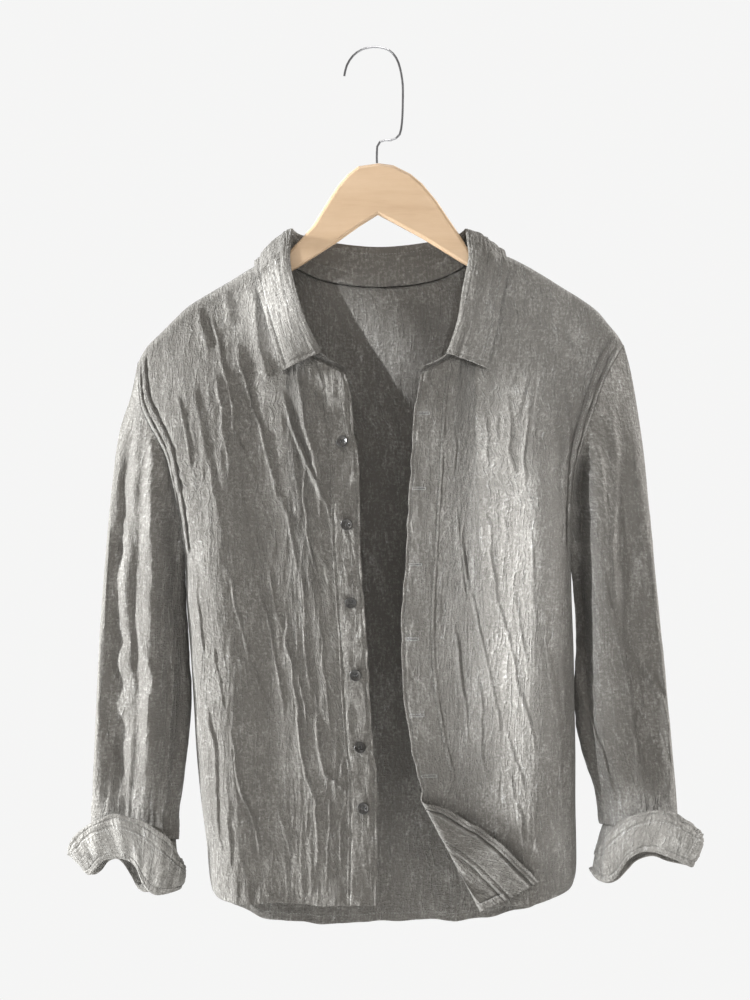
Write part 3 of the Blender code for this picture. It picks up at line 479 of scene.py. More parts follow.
creases = {  # half width, height and the points x, z down each one
    "right": [
        (2.2, 1.7, [(-176, -262), (-168, -303), (-159, -337), (-153, -368), (-146, -406), (-130, -440),
                    (-120, -476)]),
        (2, 1.9, [(-149, -283), (-145, -317), (-138, -347), (-132, -373), (-125, -388), (-116, -414),
                  (-110, -440), (-100, -466), (-91, -501), (-85, -532)]),
        (2.8, 3.0, [(-103, -352), (-91, -390), (-79, -424), (-66, -450), (-53, -476), (-45, -501),
                    (-42, -528)]),
        (4.5, 4.6, [(-86, -333), (-81, -365), (-76, -395), (-68, -425), (-60, -458), (-56, -484)]),
        (2.8, 2.8, [(-68, -319), (-60, -342), (-54, -368), (-50, -394), (-48, -424), (-47, -455)]),
        (2.4, 1.7, [(-210, -356), (-204, -373), (-200, -390), (-195, -414), (-194, -445)]),
        (5, 3.6, [(-134, -249), (-127, -278), (-122, -317), (-112, -354)]),
        (4, 2.6, [(-161, -249), (-158, -267), (-153, -292)]),
        (3.4, 2.2, [(-188, -265), (-182, -296), (-178, -319)]),
        (3, 1.6, [(-169, -337), (-161, -378), (-157, -419), (-151, -462)]),
        (3.2, 1.4, [(-192, -347), (-186, -373), (-180, -409), (-171, -452), (-163, -491)]),
        (2, 1.4, [(-75, -432), (-77, -471), (-71, -512), (-62, -553)]),
        (2, 1.3, [(-62, -464), (-58, -501), (-55, -532), (-50, -573)]),
        (1.8, 1.3, [(-49, -432), (-46, -471), (-45, -512), (-41, -563), (-39, -614)]),
        (2.4, 1.4, [(-112, -440), (-102, -471), (-91, -496), (-85, -524), (-81, -563)]),
        (2.2, 1.5, [(-130, -532), (-120, -573), (-110, -614), (-102, -655), (-97, -703)]),
        (2.2, 1.4, [(-155, -532), (-145, -584), (-132, -635), (-120, -666), (-111, -688), (-102, -705)]),
        (2.2, 1.8, [(-97, -573), (-94, -616), (-87, -661), (-81, -712), (-76, -750), (-66, -779),
                    (-64, -815), (-65, -869)]),
        (2.6, 2, [(-66, -692), (-64, -712), (-60, -734), (-54, -754), (-44, -766)]),
        (2.6, 1.9, [(-37, -712), (-34, -729), (-30, -750), (-24, -777)]),
        (2.4, 1.9, [(-152, -701), (-147, -743), (-142, -768), (-132, -791), (-125, -817), (-122, -848)]),
        (3, 2.2, [(-37, -791), (-39, -815), (-38, -848)]),
        (1.8, 1.2, [(-81, -532), (-77, -584), (-75, -635), (-69, -682)]),
        (1.8, 1.1, [(-62, -573), (-58, -625), (-54, -676), (-49, -725)]),
        (2, 1.2, [(-106, -779), (-97, -809), (-89, -840)]),
        (3, 1.8, [(-179, -672), (-171, -712), (-167, -763), (-165, -815), (-159, -853)]),
        (2.8, 1.5, [(-188, -532), (-184, -594), (-180, -655)]),
        (1.8, 1, [(-171, -614), (-163, -666), (-157, -692)]),
        (2.2, 1.2, [(-143, -450), (-136, -491), (-132, -532), (-128, -573)]),
        (1.8, 1, [(-114, -532), (-106, -584), (-97, -614)]),
        (2.4, 2.4, [(-60, -744), (-47, -757), (-33, -766), (-22, -780)]),
        (2.4, 2.0, [(-30, -700), (-32, -722), (-38, -744), (-40, -770)]),
        (2.0, 1.6, [(-26, -742), (-24, -762), (-29, -786), (-31, -818), (-28, -850)]),
        (2.2, 1.7, [(-52, -770), (-50, -800), (-54, -832), (-53, -862)]),
        (2.0, 1.5, [(-33, -372), (-37, -392), (-35, -420), (-38, -452)]),
        (2.0, 1.4, [(-30, -520), (-33, -548), (-31, -580)]),
        (2.2, 1.6, [(-27, -620), (-31, -650), (-29, -684)]),
        (2.0, 1.2, [(-84, -640), (-78, -676), (-74, -706)]),
        (3.0, 1.6, [(-152, -770), (-156, -800), (-152, -836), (-158, -862)]),
    ],
    "left": [
        (2.2, 1.6, [(69, -360), (66, -399), (68, -440), (65, -476), (64, -532), (63, -614)]),
        (2.6, 1.4, [(133, -358), (135, -388), (133, -421), (139, -452)]),
        (2.4, 1.3, [(156, -360), (152, -388), (146, -425), (148, -460)]),
        (2.4, 1.8, [(194, -337), (192, -368), (196, -399), (190, -436), (188, -471)]),
        (3, 1.4, [(198, -329), (200, -352)]),
        (2.2, 1.7, [(94, -421), (100, -460), (112, -491), (116, -532), (121, -573), (133, -614),
                    (141, -655), (151, -692), (165, -738), (172, -768)]),
        (2.2, 1.7, [(89, -471), (85, -512), (92, -553), (102, -604), (111, -640), (117, -666), (123, -688),
                    (123, -738)]),
        (2, 1.3, [(78, -471), (83, -512), (87, -549), (89, -584)]),
        (2, 1.4, [(59, -532), (62, -573), (63, -614)]),
        (2.4, 1.5, [(75, -584), (80, -625), (86, -666), (92, -717), (92, -746)]),
        (2, 1.2, [(126, -696), (137, -727), (143, -748), (151, -779)]),
        (2, 1.2, [(130, -738), (137, -768), (145, -799), (151, -830)]),
        (2.4, 1.4, [(168, -563), (172, -614), (175, -655), (176, -696)]),
        (1.8, 1.1, [(189, -450), (189, -491), (188, -532)]),
        (2.4, 1.2, [(42, -471), (40, -512), (44, -573)]),
        (2, 1, [(155, -491), (157, -553), (161, -614)]),
        (1.8, 1.1, [(75, -368), (78, -409), (75, -450)]),
        (3.2, 1.6, [(159, -816), (166, -840), (165, -865)]),
        (2.4, 1.2, [(182, -676), (186, -738), (188, -799)]),
        (2, 1.1, [(108, -368), (112, -409), (110, -448)]),
        (2.4, 1.6, [(100, -640), (106, -680), (104, -720), (112, -760)]),
        (2.6, -2.8, [(50, -792), (60, -826), (66, -862), (70, -896)]),
        (2.8, 3.0, [(63, -806), (78, -842), (86, -870), (92, -893)]),
        (2.2, -2.0, [(76, -834), (88, -858), (98, -880)]),
        (2.2, 1.5, [(58, -640), (62, -676), (60, -712), (68, -748)]),
        (2.2, 1.4, [(138, -560), (144, -600), (152, -640)]),
        (2.2, 1.3, [(52, -372), (50, -400), (54, -440)]),
    ],
    "back": [
        (3.0, 1.8, [(-204, -292), (-196, -350), (-188, -430), (-184, -520)]),
        (2.6, 1.6, [(-168, -262), (-158, -330), (-152, -400), (-140, -486)]),
        (3.6, 2.2, [(-136, -252), (-126, -330), (-116, -430), (-108, -540), (-106, -650)]),
        (2.4, 1.5, [(-150, -470), (-142, -540), (-138, -620), (-128, -700)]),
        (3.0, -1.8, [(-112, -250), (-104, -340), (-98, -430), (-84, -520)]),
        (2.6, 1.7, [(-92, -262), (-84, -350), (-80, -450), (-66, -560), (-60, -640)]),
        (2.4, 1.5, [(-60, -280), (-56, -370), (-44, -470), (-40, -560)]),
        (4.0, 2.2, [(-36, -300), (-30, -420), (-18, -540), (-14, -680), (-16, -780)]),
        (2.6, 1.6, [(-8, -290), (0, -380), (4, -470), (16, -580)]),
        (3.2, -1.9, [(18, -300), (24, -400), (34, -500), (38, -640)]),
        (2.4, 1.5, [(40, -280), (44, -360), (56, -460), (60, -560), (70, -650)]),
        (2.8, 1.8, [(66, -270), (74, -380), (80, -480), (92, -600), (96, -720)]),
        (2.4, 1.4, [(96, -258), (102, -330), (112, -420), (116, -520)]),
        (3.6, 2.1, [(126, -246), (128, -340), (138, -450), (142, -560), (150, -660)]),
        (2.6, 1.6, [(156, -262), (160, -350), (172, -440), (176, -530)]),
        (3.0, 1.7, [(196, -286), (192, -350), (186, -430), (190, -520)]),
        (2.6, 1.5, [(-176, -600), (-170, -690), (-160, -780), (-158, -860)]),
        (3.0, 1.8, [(-126, -640), (-120, -740), (-108, -830), (-104, -890)]),
        (2.4, 1.4, [(-84, -600), (-80, -700), (-70, -800), (-66, -890)]),
        (2.8, 1.7, [(-44, -620), (-40, -720), (-46, -820), (-40, -900)]),
        (2.4, 1.5, [(16, -650), (20, -740), (12, -830), (16, -900)]),
        (3.2, 1.9, [(56, -640), (52, -740), (60, -830), (58, -900)]),
        (2.4, 1.4, [(110, -620), (116, -720), (110, -810), (118, -890)]),
        (3.0, 1.8, [(160, -600), (158, -700), (168, -790), (166, -870)]),
        (2.2, 1.2, [(-200, -640), (-194, -720), (-188, -800)]),
        (2.2, 1.2, [(190, -620), (194, -710), (192, -800)]),
    ],
}
collarBack = [(0, -247, 0, -205, -4, 0, -262, 7), (52, -242, 48, -201, -4, 60, -258, 7),
              (86, -229, 80, -194, -2, 104, -243, 7), (99, -218, 88, -190, -1, 121, -228, 8)]
collarShoulder = (102.5, -212, 90, -189, 0, 129, 5.5, 0)
collarFront = {
    "right": [(101, -222, 91, -203, 3, 128, -235, 6), (99, -236, 92, -222, 7, 126.5, -245, 6),
              (95, -262, 86.5, -250, 8, 121, -266, 6), (89.5, -290, 75, -286, 8, 113, -295, 6),
              (81.5, -314, 59, -318, 7, 100, -338, 6)],
    "left": [(101.2, -221, 91.5, -200, 3, 133.5, -229, 6), (99.5, -234, 93, -219, 7, 132, -241, 6),
             (96.5, -260, 87, -250, 8, 127, -262, 6), (92, -288, 81, -286, 8, 121, -297, 6),
             (86, -314, 70, -319, 7, 111, -334, 6)],
}
standEnd = {"right": (34, -339, 34, -332.5, 2), "left": (43, -339, 45, -332.5, 2)}
bandCorner = {"right": (-62, -326), "left": (75, -322.5)}


def ridgeHeight(x):
    heights = []
    for side, sign in (("right", -1.0), ("left", 1.0)):
        rows = np.array(sorted((abs(row[0]), row[1]) for row in shoulder[side])) * mm
        heights.append(np.interp(x * sign, rows[:, 0], rows[:, 1]))
    return np.where(x < 0, heights[0], heights[1])


def bodyDepth(x, z, belly, neck):
    fall = np.maximum(ridgeHeight(x) - z, 0.0)
    neckShare = np.maximum(1.0 - (x / (body["neckHalfWidth"] * mm)) ** 2, 0.0) ** 1.5
    radius = body["ridgeRadius"] * mm
    return (radius * quarterRound(fall / radius) + belly * mm * ease(fall / (body["fallLength"] * mm))
            + neck * mm * neckShare * ease(fall / (body["neckDrop"] * mm)))


def frontDepth(x, z):
    # the sides stand further forward than the placket: evenly on the right, as a swelling on the left
    full, middle, half = [value * mm for value in body["leftFull"]]
    swelling = full * np.exp(-((x - middle) / half) ** 2) * ease((-0.28 - z) / 0.14)
    rise = body["rightRise"] * mm * np.clip(-x / (body["rightReach"] * mm), 0.0, 1.1)
    rise = rise * ease((ridgeHeight(x) - z) / 0.10)
    fromChest = (z - body["chestZ"] * mm) / (body["chestHalf"] * mm)
    rise = rise * (1.0 + body["chestRise"] * np.exp(-fromChest ** 2))
    # the left band stands out at its free edge
    fromEdge = (x - body["leftEdgeX"] * mm) / (body["leftEdgeWidth"] * mm)
    edge = body["leftEdge"] * mm * (1.0 - ease(fromEdge)) * ease((-0.35 - z) / 0.09)
    return bodyDepth(x, z, body["frontBelly"], body["frontNeck"]) + np.where(x < 0, rise, swelling + edge)


def backDepth(x, z):
    return bodyDepth(x, z, body["backBelly"], body["backNeck"])


def armholeDepth(share):
    share = np.clip(share, 0.0, 1.0)
    return body["armholeDepth"] * mm * 4.0 * share * (1.0 - share)


def patchBetween(top, bottom, first, last):
    # a side curve's own bend dies away towards the middle
    def at(u, v):
        acrossShare, downShare = column(u), column(v)
        ruled = blendTo(top(u), bottom(u), downShare)
        firstBend = first(v) - blendTo(top(0.0), bottom(0.0), downShare)
        lastBend = last(v) - blendTo(top(1.0), bottom(1.0), downShare)
        return ruled + firstBend * (1.0 - acrossShare) ** 2 + lastBend * acrossShare ** 3

    return at


def foldHeight(folds, x, z):
    height = np.zeros_like(x)
    for topX, topZ, endX, endZ, halfWidth, depth in folds:
        down = (topZ * mm - z) / ((topZ - endZ) * mm)
        across = (x - blendTo(topX * mm, endX * mm, down)) / (halfWidth * mm)
        length = (topZ - endZ) / 70.0
        height += depth * mm * np.exp(-across ** 2) * ease(down * length) * ease((1.0 - down) * length)
    return height


def turnLine():
    top = np.array([body["turnTop"][0], 0.0, body["turnTop"][1]]) * mm
    end = np.array([body["turnBottom"][0], 0.0, body["turnBottom"][1]]) * mm
    along = (end - top) / np.linalg.norm(end - top)
    return top, np.array([along[2], 0.0, -along[0]])


def turnedOver(side, x, z):
    # 1 on the turned-back corner, where the wrong side shows
    if side == "right":
        return 0 * x
    top, outward = turnLine()
    return ease(((x - top[0]) * outward[0] + (z - top[2]) * outward[2]) / 0.012)


def turnCorner(points):
    # what lies beyond the turning line rolls back over the front
    top, outward = turnLine()
    radius = body["turnRadius"] * mm
    flat = points * np.array([1.0, 0.0, 1.0]) - top
    beyond = np.maximum(flat @ outward, 0.0)
    onLine = points - beyond[:, None] * outward
    angle = np.minimum(beyond / radius, math.pi)
    rest = np.maximum(beyond - math.pi * radius, 0.0)
    shift = outward * (radius * np.sin(angle) - rest)[:, None]
    height = radius * (1.0 - np.cos(angle)) - 0.07 * rest
    lift = np.stack([0 * beyond, -height, 0 * beyond], axis=-1)
    turned = onLine + shift + lift
    under = frontDepth(turned[:, 0], turned[:, 2]) - frontDepth(points[:, 0], points[:, 2])
    turned[:, 1] -= under * ease(beyond / 0.015)
    return np.where(column(beyond > 0.0), turned, points)


def neckSeam(side):
    sign = -1.0 if side == "right" else 1.0
    rows = [collarShoulder] + collarFront[side]
    return curveThrough([(sign * row[0], row[1]) for row in rows] + [bandCorner[side]])


def backNeckSeam():
    half = [(row[0], row[1]) for row in collarBack + [collarShoulder]]
    return curveThrough([(-x, z) for x, z in reversed(half)] + half[1:])


def bandInnerEdge(side):
    width = (body["buttonBand"] if side == "right" else body["holeBand"]) * mm
    outward = -1.0 if side == "right" else 1.0
    free = curveThrough(freeEdge[side])
    startLift = bandCorner[side][1] * mm - float(free(0.0)[1])
    endLift = frontHem[side][-1][1] * mm - float(free(1.0)[1])

    def at(t):
        t = np.asarray(t, float)
        edge = free(t)
        return np.stack([edge[..., 0] + outward * width, edge[..., 1] + blendTo(startLift, endLift, t)],
                        axis=-1)

    return at


hem = {"panelLength": 620, "width": 8.5, "stitch": 7.8, "flutterHeight": 24}
armSeam = {"width": 8.5, "rise": 1.8, "pucker": 4.4, "sunk": 2.6, "stitches": (1.5, 7.2),
           "grooves": [(10.2, 1.3), (3.8, 1.0)]}  # place from the seam and half width
placket = {"lap": 1.8, "raised": 0.9, "sunk": 0.9, "innerStitch": 2.8, "edgeStitch": 3.2,
           "edgeWander": 1.6, "edgeWave": 7.2, "edgePucker": 1.3, "pinch": 5}
turnedHem = (7.2, 1.4, 8.6, 1.0)  # width, height, stitch line and its half width on the wrong side
turnedBand = (5.6, 1.7, 7.4, 1.1)


def foldedEdge(fromEdge, fold):
    # a raised fold beside an edge, with a sunk stitch line past it
    width, height, stitch, halfWidth = [value * mm for value in fold]
    return height * (1.0 - ease((fromEdge - width) / 0.001) - lineGroove(fromEdge - stitch, halfWidth))


def hemStep(fromHem, along, seed):
    # a narrow double hem, drawn in along its stitching
    inside = 1.0 - ease((fromHem - hem["width"] * mm) / 0.001)
    pucker = latticeNoise(along / 0.007, fromHem / 0.012, seed + 13) - 0.5
    return inside * (0.0004 + 0.0010 * pucker) - 0.0005 * lineGroove(fromHem - hem["stitch"] * mm, 0.0009)


def outerEdge(side):
    return joinCurves(curveThrough(armhole[side]), body["armholeShare"], curveThrough(sideSeam[side]))


def frontSurface(side):
    top = joinCurves(curveThrough(shoulder[side]), body["shoulderShare"], neckSeam(side))
    outer = outerEdge(side)
    inner = bandInnerEdge(side)
    patch = patchBetween(top, curveThrough(frontHem[side]), outer, inner)
    seed = 11 if side == "right" else 23

    def at(u, v):
        flat = patch(u, v)
        x, z = flat[:, 0], flat[:, 1]
        width = np.linalg.norm(outer(v) - inner(v), axis=-1)
        reach = u * width
        y = blendTo(armholeDepth(v / body["armholeShare"]), frontDepth(x, z),
                    quarterRound(reach / (body["sideRound"] * mm)))
        hold = ease(u * 6) * ease((1.0 - u) * 6)
        y += foldHeight(longFolds[side], x, z) * hold
        soften = ease(reach / 0.016) * (0.3 + 0.7 * ease((1.0 - u) * width / 0.010))
        soften *= ease((ridgeHeight(x) - z) / 0.03)
        y += (crinkleHeight(x, z, seed, "body") + creaseHeight(creases[side], x, z, seed)) * soften
        # the sewn-down armhole edge puckers along its seam
        atArm = ease((body["armholeShare"] + 0.01 - v) / 0.02) * ease((v - 0.01) / 0.02)
        pucker = latticeNoise(reach / 0.007, (x - z) / 0.0066, seed + 9) - 0.5
        strip = 1.0 - ease((reach - armSeam["width"] * mm) / 0.0014)
        y += atArm * strip * (armSeam["rise"] + armSeam["pucker"] * pucker) * mm * ease(reach / 0.0028)
        for inboard, halfWidth in armSeam["grooves"]:
            y -= atArm * armSeam["sunk"] * mm * lineGroove(reach - inboard * mm, halfWidth * mm)
        fromSeam, fromHem = (1.0 - u) * width, (1.0 - v) * hem["panelLength"] * mm
        y += hemStep(fromHem, x, seed)
        # seam allowance and hem show on the wrong side of the turned corner
        turned = turnedOver(side, x, z)
        y += turned * foldedEdge(fromHem, turnedHem)
        y += turned * 0.0022 * lineGroove(fromSeam - 0.0020, 0.0013)
        y -= turned * 0.0014 * lineGroove(fromSeam - 0.0052, 0.0013)
        atHem = ease(1.0 - fromHem / (hem["flutterHeight"] * mm)) * ease((1.0 - u) * 6) * (1.0 - turned)
        y += atHem * 0.0060 * (latticeNoise(x / 0.024, 0 * x, seed + 31) - 0.35)
        z = z + atHem * 0.0036 * (latticeNoise(x / 0.019, 0 * x + 3, seed + 33) - 0.5)
        points = np.stack([x, -body["seamGap"] * mm - y, z], axis=-1)
        return turnCorner(points) if side == "left" else points

    return at


def backSurface():
    neckAndLeft = joinCurves(backNeckSeam(), 0.5, backwards(curveThrough(shoulder["left"])))
    top = joinCurves(curveThrough(shoulder["right"]), 1 / 3, neckAndLeft)
    first = outerEdge("right")
    last = outerEdge("left")
    patch = patchBetween(top, curveThrough(backHem), first, last)

    def at(u, v):
        flat = patch(u, v)
        x, z = flat[:, 0], flat[:, 1]
        width = np.linalg.norm(first(v) - last(v), axis=-1)
        reach = np.minimum(u, 1.0 - u) * width
        y = blendTo(armholeDepth(v / body["armholeShare"]), backDepth(x, z),
                    quarterRound(reach / (body["sideRound"] * mm)))
        y += foldHeight(longFolds["back"], x, z) * ease(reach / (body["sideRound"] * mm))
        soften = ease(reach / 0.016) * ease((ridgeHeight(x) - z) / 0.03)
        y += (crinkleHeight(x, z, 41, "body") + creaseHeight(creases["back"], x, z, 41)) * soften
        fromHem = (1.0 - v) * hem["panelLength"] * mm
        y += hemStep(fromHem, x, 41)
        atHem = ease(1.0 - fromHem / (hem["flutterHeight"] * mm)) * ease(reach / 0.03)
        y += atHem * 0.0050 * (latticeNoise(x / 0.026, 0 * x, 55) - 0.5)
        z = z + atHem * 0.0032 * (latticeNoise(x / 0.020, 0 * x + 3, 57) - 0.5)
        return np.stack([x, body["seamGap"] * mm + y, z], axis=-1)

    return at


def bandSurface(side):
    free = curveThrough(freeEdge[side])
    inner = bandInnerEdge(side)
    outward = -1.0 if side == "right" else 1.0
    width = (body["buttonBand"] if side == "right" else body["holeBand"]) * mm
    seed = 71 if side == "right" else 83

    def at(u, v):
        flat = blendTo(inner(v), free(v), column(u))
        x = flat[:, 0] + outward * placket["lap"] * mm * (1.0 - u)
        z = flat[:, 1]
        fromSeam, fromEdge = u * width, (1.0 - u) * width
        y = frontDepth(x, z) + placket["raised"] * mm
        y += crinkleHeight(x, z, seed, "band") * (0.35 + 0.65 * ease(u * 5) * ease((1.0 - u) * 5))
        stitched = lineGroove(fromSeam - placket["innerStitch"] * mm, 0.0009)
        stitched = stitched + lineGroove(fromEdge - placket["edgeStitch"] * mm, 0.0009)
        y -= placket["sunk"] * mm * stitched
        wander = latticeNoise(0 * z + 1, z / 0.013, seed + 5) - 0.5
        x = x - outward * placket["edgeWander"] * mm * u * wander
        y += placket["edgeWave"] * mm * u * (latticeNoise(0 * z + 2, z / 0.026, seed + 6) - 0.35)
        if side == "left":
            turned = turnedOver(side, x, z)
            y += turned * foldedEdge(fromEdge, turnedBand)
            y += turned * 0.0014 * lineGroove(fromEdge - 0.0098, 0.0011)
            y += turned * 0.0034 * (latticeNoise(x / 0.016, z / 0.030, 207) - 0.5)
        pinch = placket["pinch"] * mm
        atEdges = ease(1.0 - fromSeam / pinch) + ease(1.0 - fromEdge / pinch)
        y += placket["edgePucker"] * mm * atEdges * (latticeNoise(u * 5, z / 0.0075, seed + 3) - 0.5)
        points = np.stack([x, -body["seamGap"] * mm - y, z], axis=-1)
        return turnCorner(points) if side == "left" else points

    return at


def bandColumns():
    return spread(7, 0.0, 0.16) + spread(8, 0.16, 0.64)[1:] + spread(14, 0.64, 1.0)[1:]


def panelRows(count):
    # close over the shoulder ridge and in the hem, even between
    return ([0.0, 0.002, 0.004, 0.007, 0.011, 0.016, 0.022] + spread(count, 0.029, 0.975)
            + spread(12, 0.977, 1.0))


print("laying the body panels")
frontRight = clothSheet("clothFrontRight", frontSurface("right"), spread(185), panelRows(160),
                        body["thickness"] * mm, panel=True)
finishSheet(frontRight, "front_right")
frontLeft = clothSheet("clothFrontLeft", frontSurface("left"), spread(175), panelRows(170),
                       body["thickness"] * mm, panel=True)
finishSheet(frontLeft, "front_left")
back = clothSheet("clothBack", backSurface(), spread(250), panelRows(140), body["thickness"] * mm,
                  panel=True)
finishSheet(back, "back")
buttonBand = clothSheet("clothButtonBand", bandSurface("right"), bandColumns(), panelRows(190),
                        body["bandThickness"] * mm, panel=True)
finishSheet(buttonBand, "button_band")
holeBand = clothSheet("clothButtonholeBand", bandSurface("left"), bandColumns(), panelRows(220),
                      body["bandThickness"] * mm, panel=True)
finishSheet(holeBand, "buttonhole_band")

collar = {
    "thickness": 1.3, "standGap": 0.9, "standInset": 1.2, "rollGap": 0.2, "leafRise": 5,
    "standLength": 460, "standHeight": 30, "standStitch": 5.5, "standSewn": 0.83,
    "leafLength": 500, "leafDepth": 55, "leafStitch": 4.5, "leafSewn": 0.918, "leafEndSewn": 0.009,
}


def collarLines(withStandEnd):
    # seam, roll and leaf edge, from the right front round the neck to the left front
    halves = {}
    for side, sign in (("right", -1.0), ("left", 1.0)):
        rows = [(row, 1.0) for row in collarBack] + [(collarShoulder, 0.0)]
        rows += [(row, -1.0) for row in collarFront[side]]
        if withStandEnd:
            rows.append((standEnd[side], -1.0))
        points = []
        for row, facing in rows:
            depth = backDepth if facing > 0 else frontDepth

            def depthAt(x, z):
                return float(depth(np.array([sign * x * mm]), np.array([z * mm]))[0]) / mm

            seamY = depthAt(row[0], row[1])
            three = [(sign * row[0], facing * seamY, row[1]),
                     (sign * row[2], facing * (seamY + row[4]), row[3])]
            if len(row) == 5:
                three.append(three[1])
            else:
                edgeZ = row[6]
                if facing == 0.0:
                    edgeZ += float(ridgeHeight(np.array([sign * row[5] * mm]))[0]) / mm
                three.append((sign * row[5], facing * (depthAt(row[5], edgeZ) + row[7]), edgeZ))
            points.append(three)
        halves[side] = points
    ordered = list(reversed(halves["right"])) + halves["left"][1:]
    return [curveThrough([points[k] for points in ordered], byRow=True) for k in range(3)]


def neckNormal(seam, roll, u):
    along = roll(np.minimum(u + 0.01, 1.0)) - roll(np.maximum(u - 0.01, 0.0))
    normal = np.cross(roll(u) - seam(u), along)
    return normal / np.linalg.norm(normal, axis=-1, keepdims=True)


def standSurface():
    seam, roll = collarLines(True)[:2]

    def at(u, v):
        low = seam(u)
        high = roll(u)
        rise = (high - low) / np.linalg.norm(high - low, axis=-1, keepdims=True)
        normal = neckNormal(seam, roll, u)
        low = low + rise * collar["standGap"] * mm - normal * collar["standInset"] * mm
        points = blendTo(low, high - rise * collar["rollGap"] * mm, column(v))
        length, height = collar["standLength"] * mm, collar["standHeight"] * mm
        pucker = crinkleHeight(u * length, v * height, 91, "collar") * 0.5
        pucker = pucker * np.sin(np.pi * np.clip(v, 0, 1))
        pucker -= 0.0008 * lineGroove((1.0 - v) * height - collar["standStitch"] * mm, 0.0009)
        return points + normal * column(pucker)

    return at


def leafSurface():
    seam, roll, edge = collarLines(False)

    def at(u, v):
        normal = neckNormal(seam, roll, u)
        start = roll(u)
        end = edge(u)
        outward = normal * collar["leafRise"] * mm
        share = column(v)
        rest = 1.0 - share
        points = (start * rest ** 3 + (start + outward) * (3 * rest * rest * share)
                  + (blendTo(start, end, 0.4) + outward) * (3 * rest * share * share) + end * share ** 3)
        length, depth = collar["leafLength"] * mm, collar["leafDepth"] * mm
        pucker = crinkleHeight(v * depth, u * length, 97, "collar") * ease(v * 5)
        fromEdge = np.minimum((1.0 - v) * depth, np.minimum(u, 1.0 - u) * length)
        pucker -= 0.0011 * lineGroove(fromEdge - collar["leafStitch"] * mm, 0.0010)
        pucker += 0.0016 * (latticeNoise(u * 64, v * 8, 99) - 0.5) * ease(1.0 - fromEdge / 0.009)
        return points + normal * column(pucker)

    return at


print("making the collar")
stand = clothSheet("clothCollarStand", standSurface(), spread(220), spread(20), collar["thickness"] * mm,
                   lengthwise=True)
finishSheet(stand, "collar_stand")
leafColumns = spread(10, 0.0, 0.02) + spread(240, 0.022, 0.978) + spread(10, 0.98, 1.0)
leafRows = spread(40, 0.0, 0.86) + spread(13, 0.87, 1.0)
leaf = clothSheet("clothCollarLeaf", leafSurface(), leafColumns, leafRows, collar["thickness"] * mm,
                  lengthwise=True)
finishSheet(leaf, "collar_leaf")

sleeve = {"gap": 0.5, "tuck": 1.0, "thickness": 0.8, "centreY": 13, "inset": 0.8, "round": 260,
          "length": 500, "gathers": 5.0}
sleeveStations = {  # outer x, outer z, inner x, inner z, half depth
    "right": [(-252, -327, -203, -534, 29), (-259, -361, -203, -544, 29),
              (-271, -398, -202, -556, 29), (-278, -446, -201, -573, 29),
              (-283, -494, -200, -593, 28), (-287, -540, -198, -616, 28),
              (-291, -596, -197, -644, 28), (-294, -648, -195.5, -680, 27),
              (-296, -700, -199, -720, 27), (-298, -745, -204, -760, 27),
              (-299, -783, -208, -795, 26), (-299, -814, -211, -824, 25)],
    "left": [(256, -309, 203, -534, 29), (263, -335, 203, -544, 29),
             (270, -372, 203.5, -556, 29), (277, -419, 204, -573, 29),
             (282, -471, 205, -595, 28), (287, -523, 205.5, -620, 28),
             (292, -575, 204.5, -650, 28), (297, -627, 204.5, -682, 27),
             (302, -679, 207, -710, 27), (307, -731, 214, -740, 27),
             (311, -775, 227, -775, 27), (313, -806, 233, -808, 27)],
}
sleeveFolds = {  # angle and half width in degrees, depth, first and last share of the length
    "right": [(40, 15, 5.5, 0.10, 1.0), (75, 14, -5.0, 0.15, 1.0), (112, 16, 5.0, 0.05, 0.95),
              (148, 13, -4.0, 0.25, 1.0), (232, 17, 4.5, 0.10, 0.9), (300, 16, -4.0, 0.15, 0.95)],
    "left": [(38, 15, 5.0, 0.12, 0.95), (72, 15, -4.5, 0.08, 0.9), (108, 16, 5.0, 0.20, 1.0),
             (145, 13, -4.0, 0.10, 0.9), (240, 17, 4.5, 0.10, 0.9), (305, 16, -4.0, 0.15, 0.95)],
}
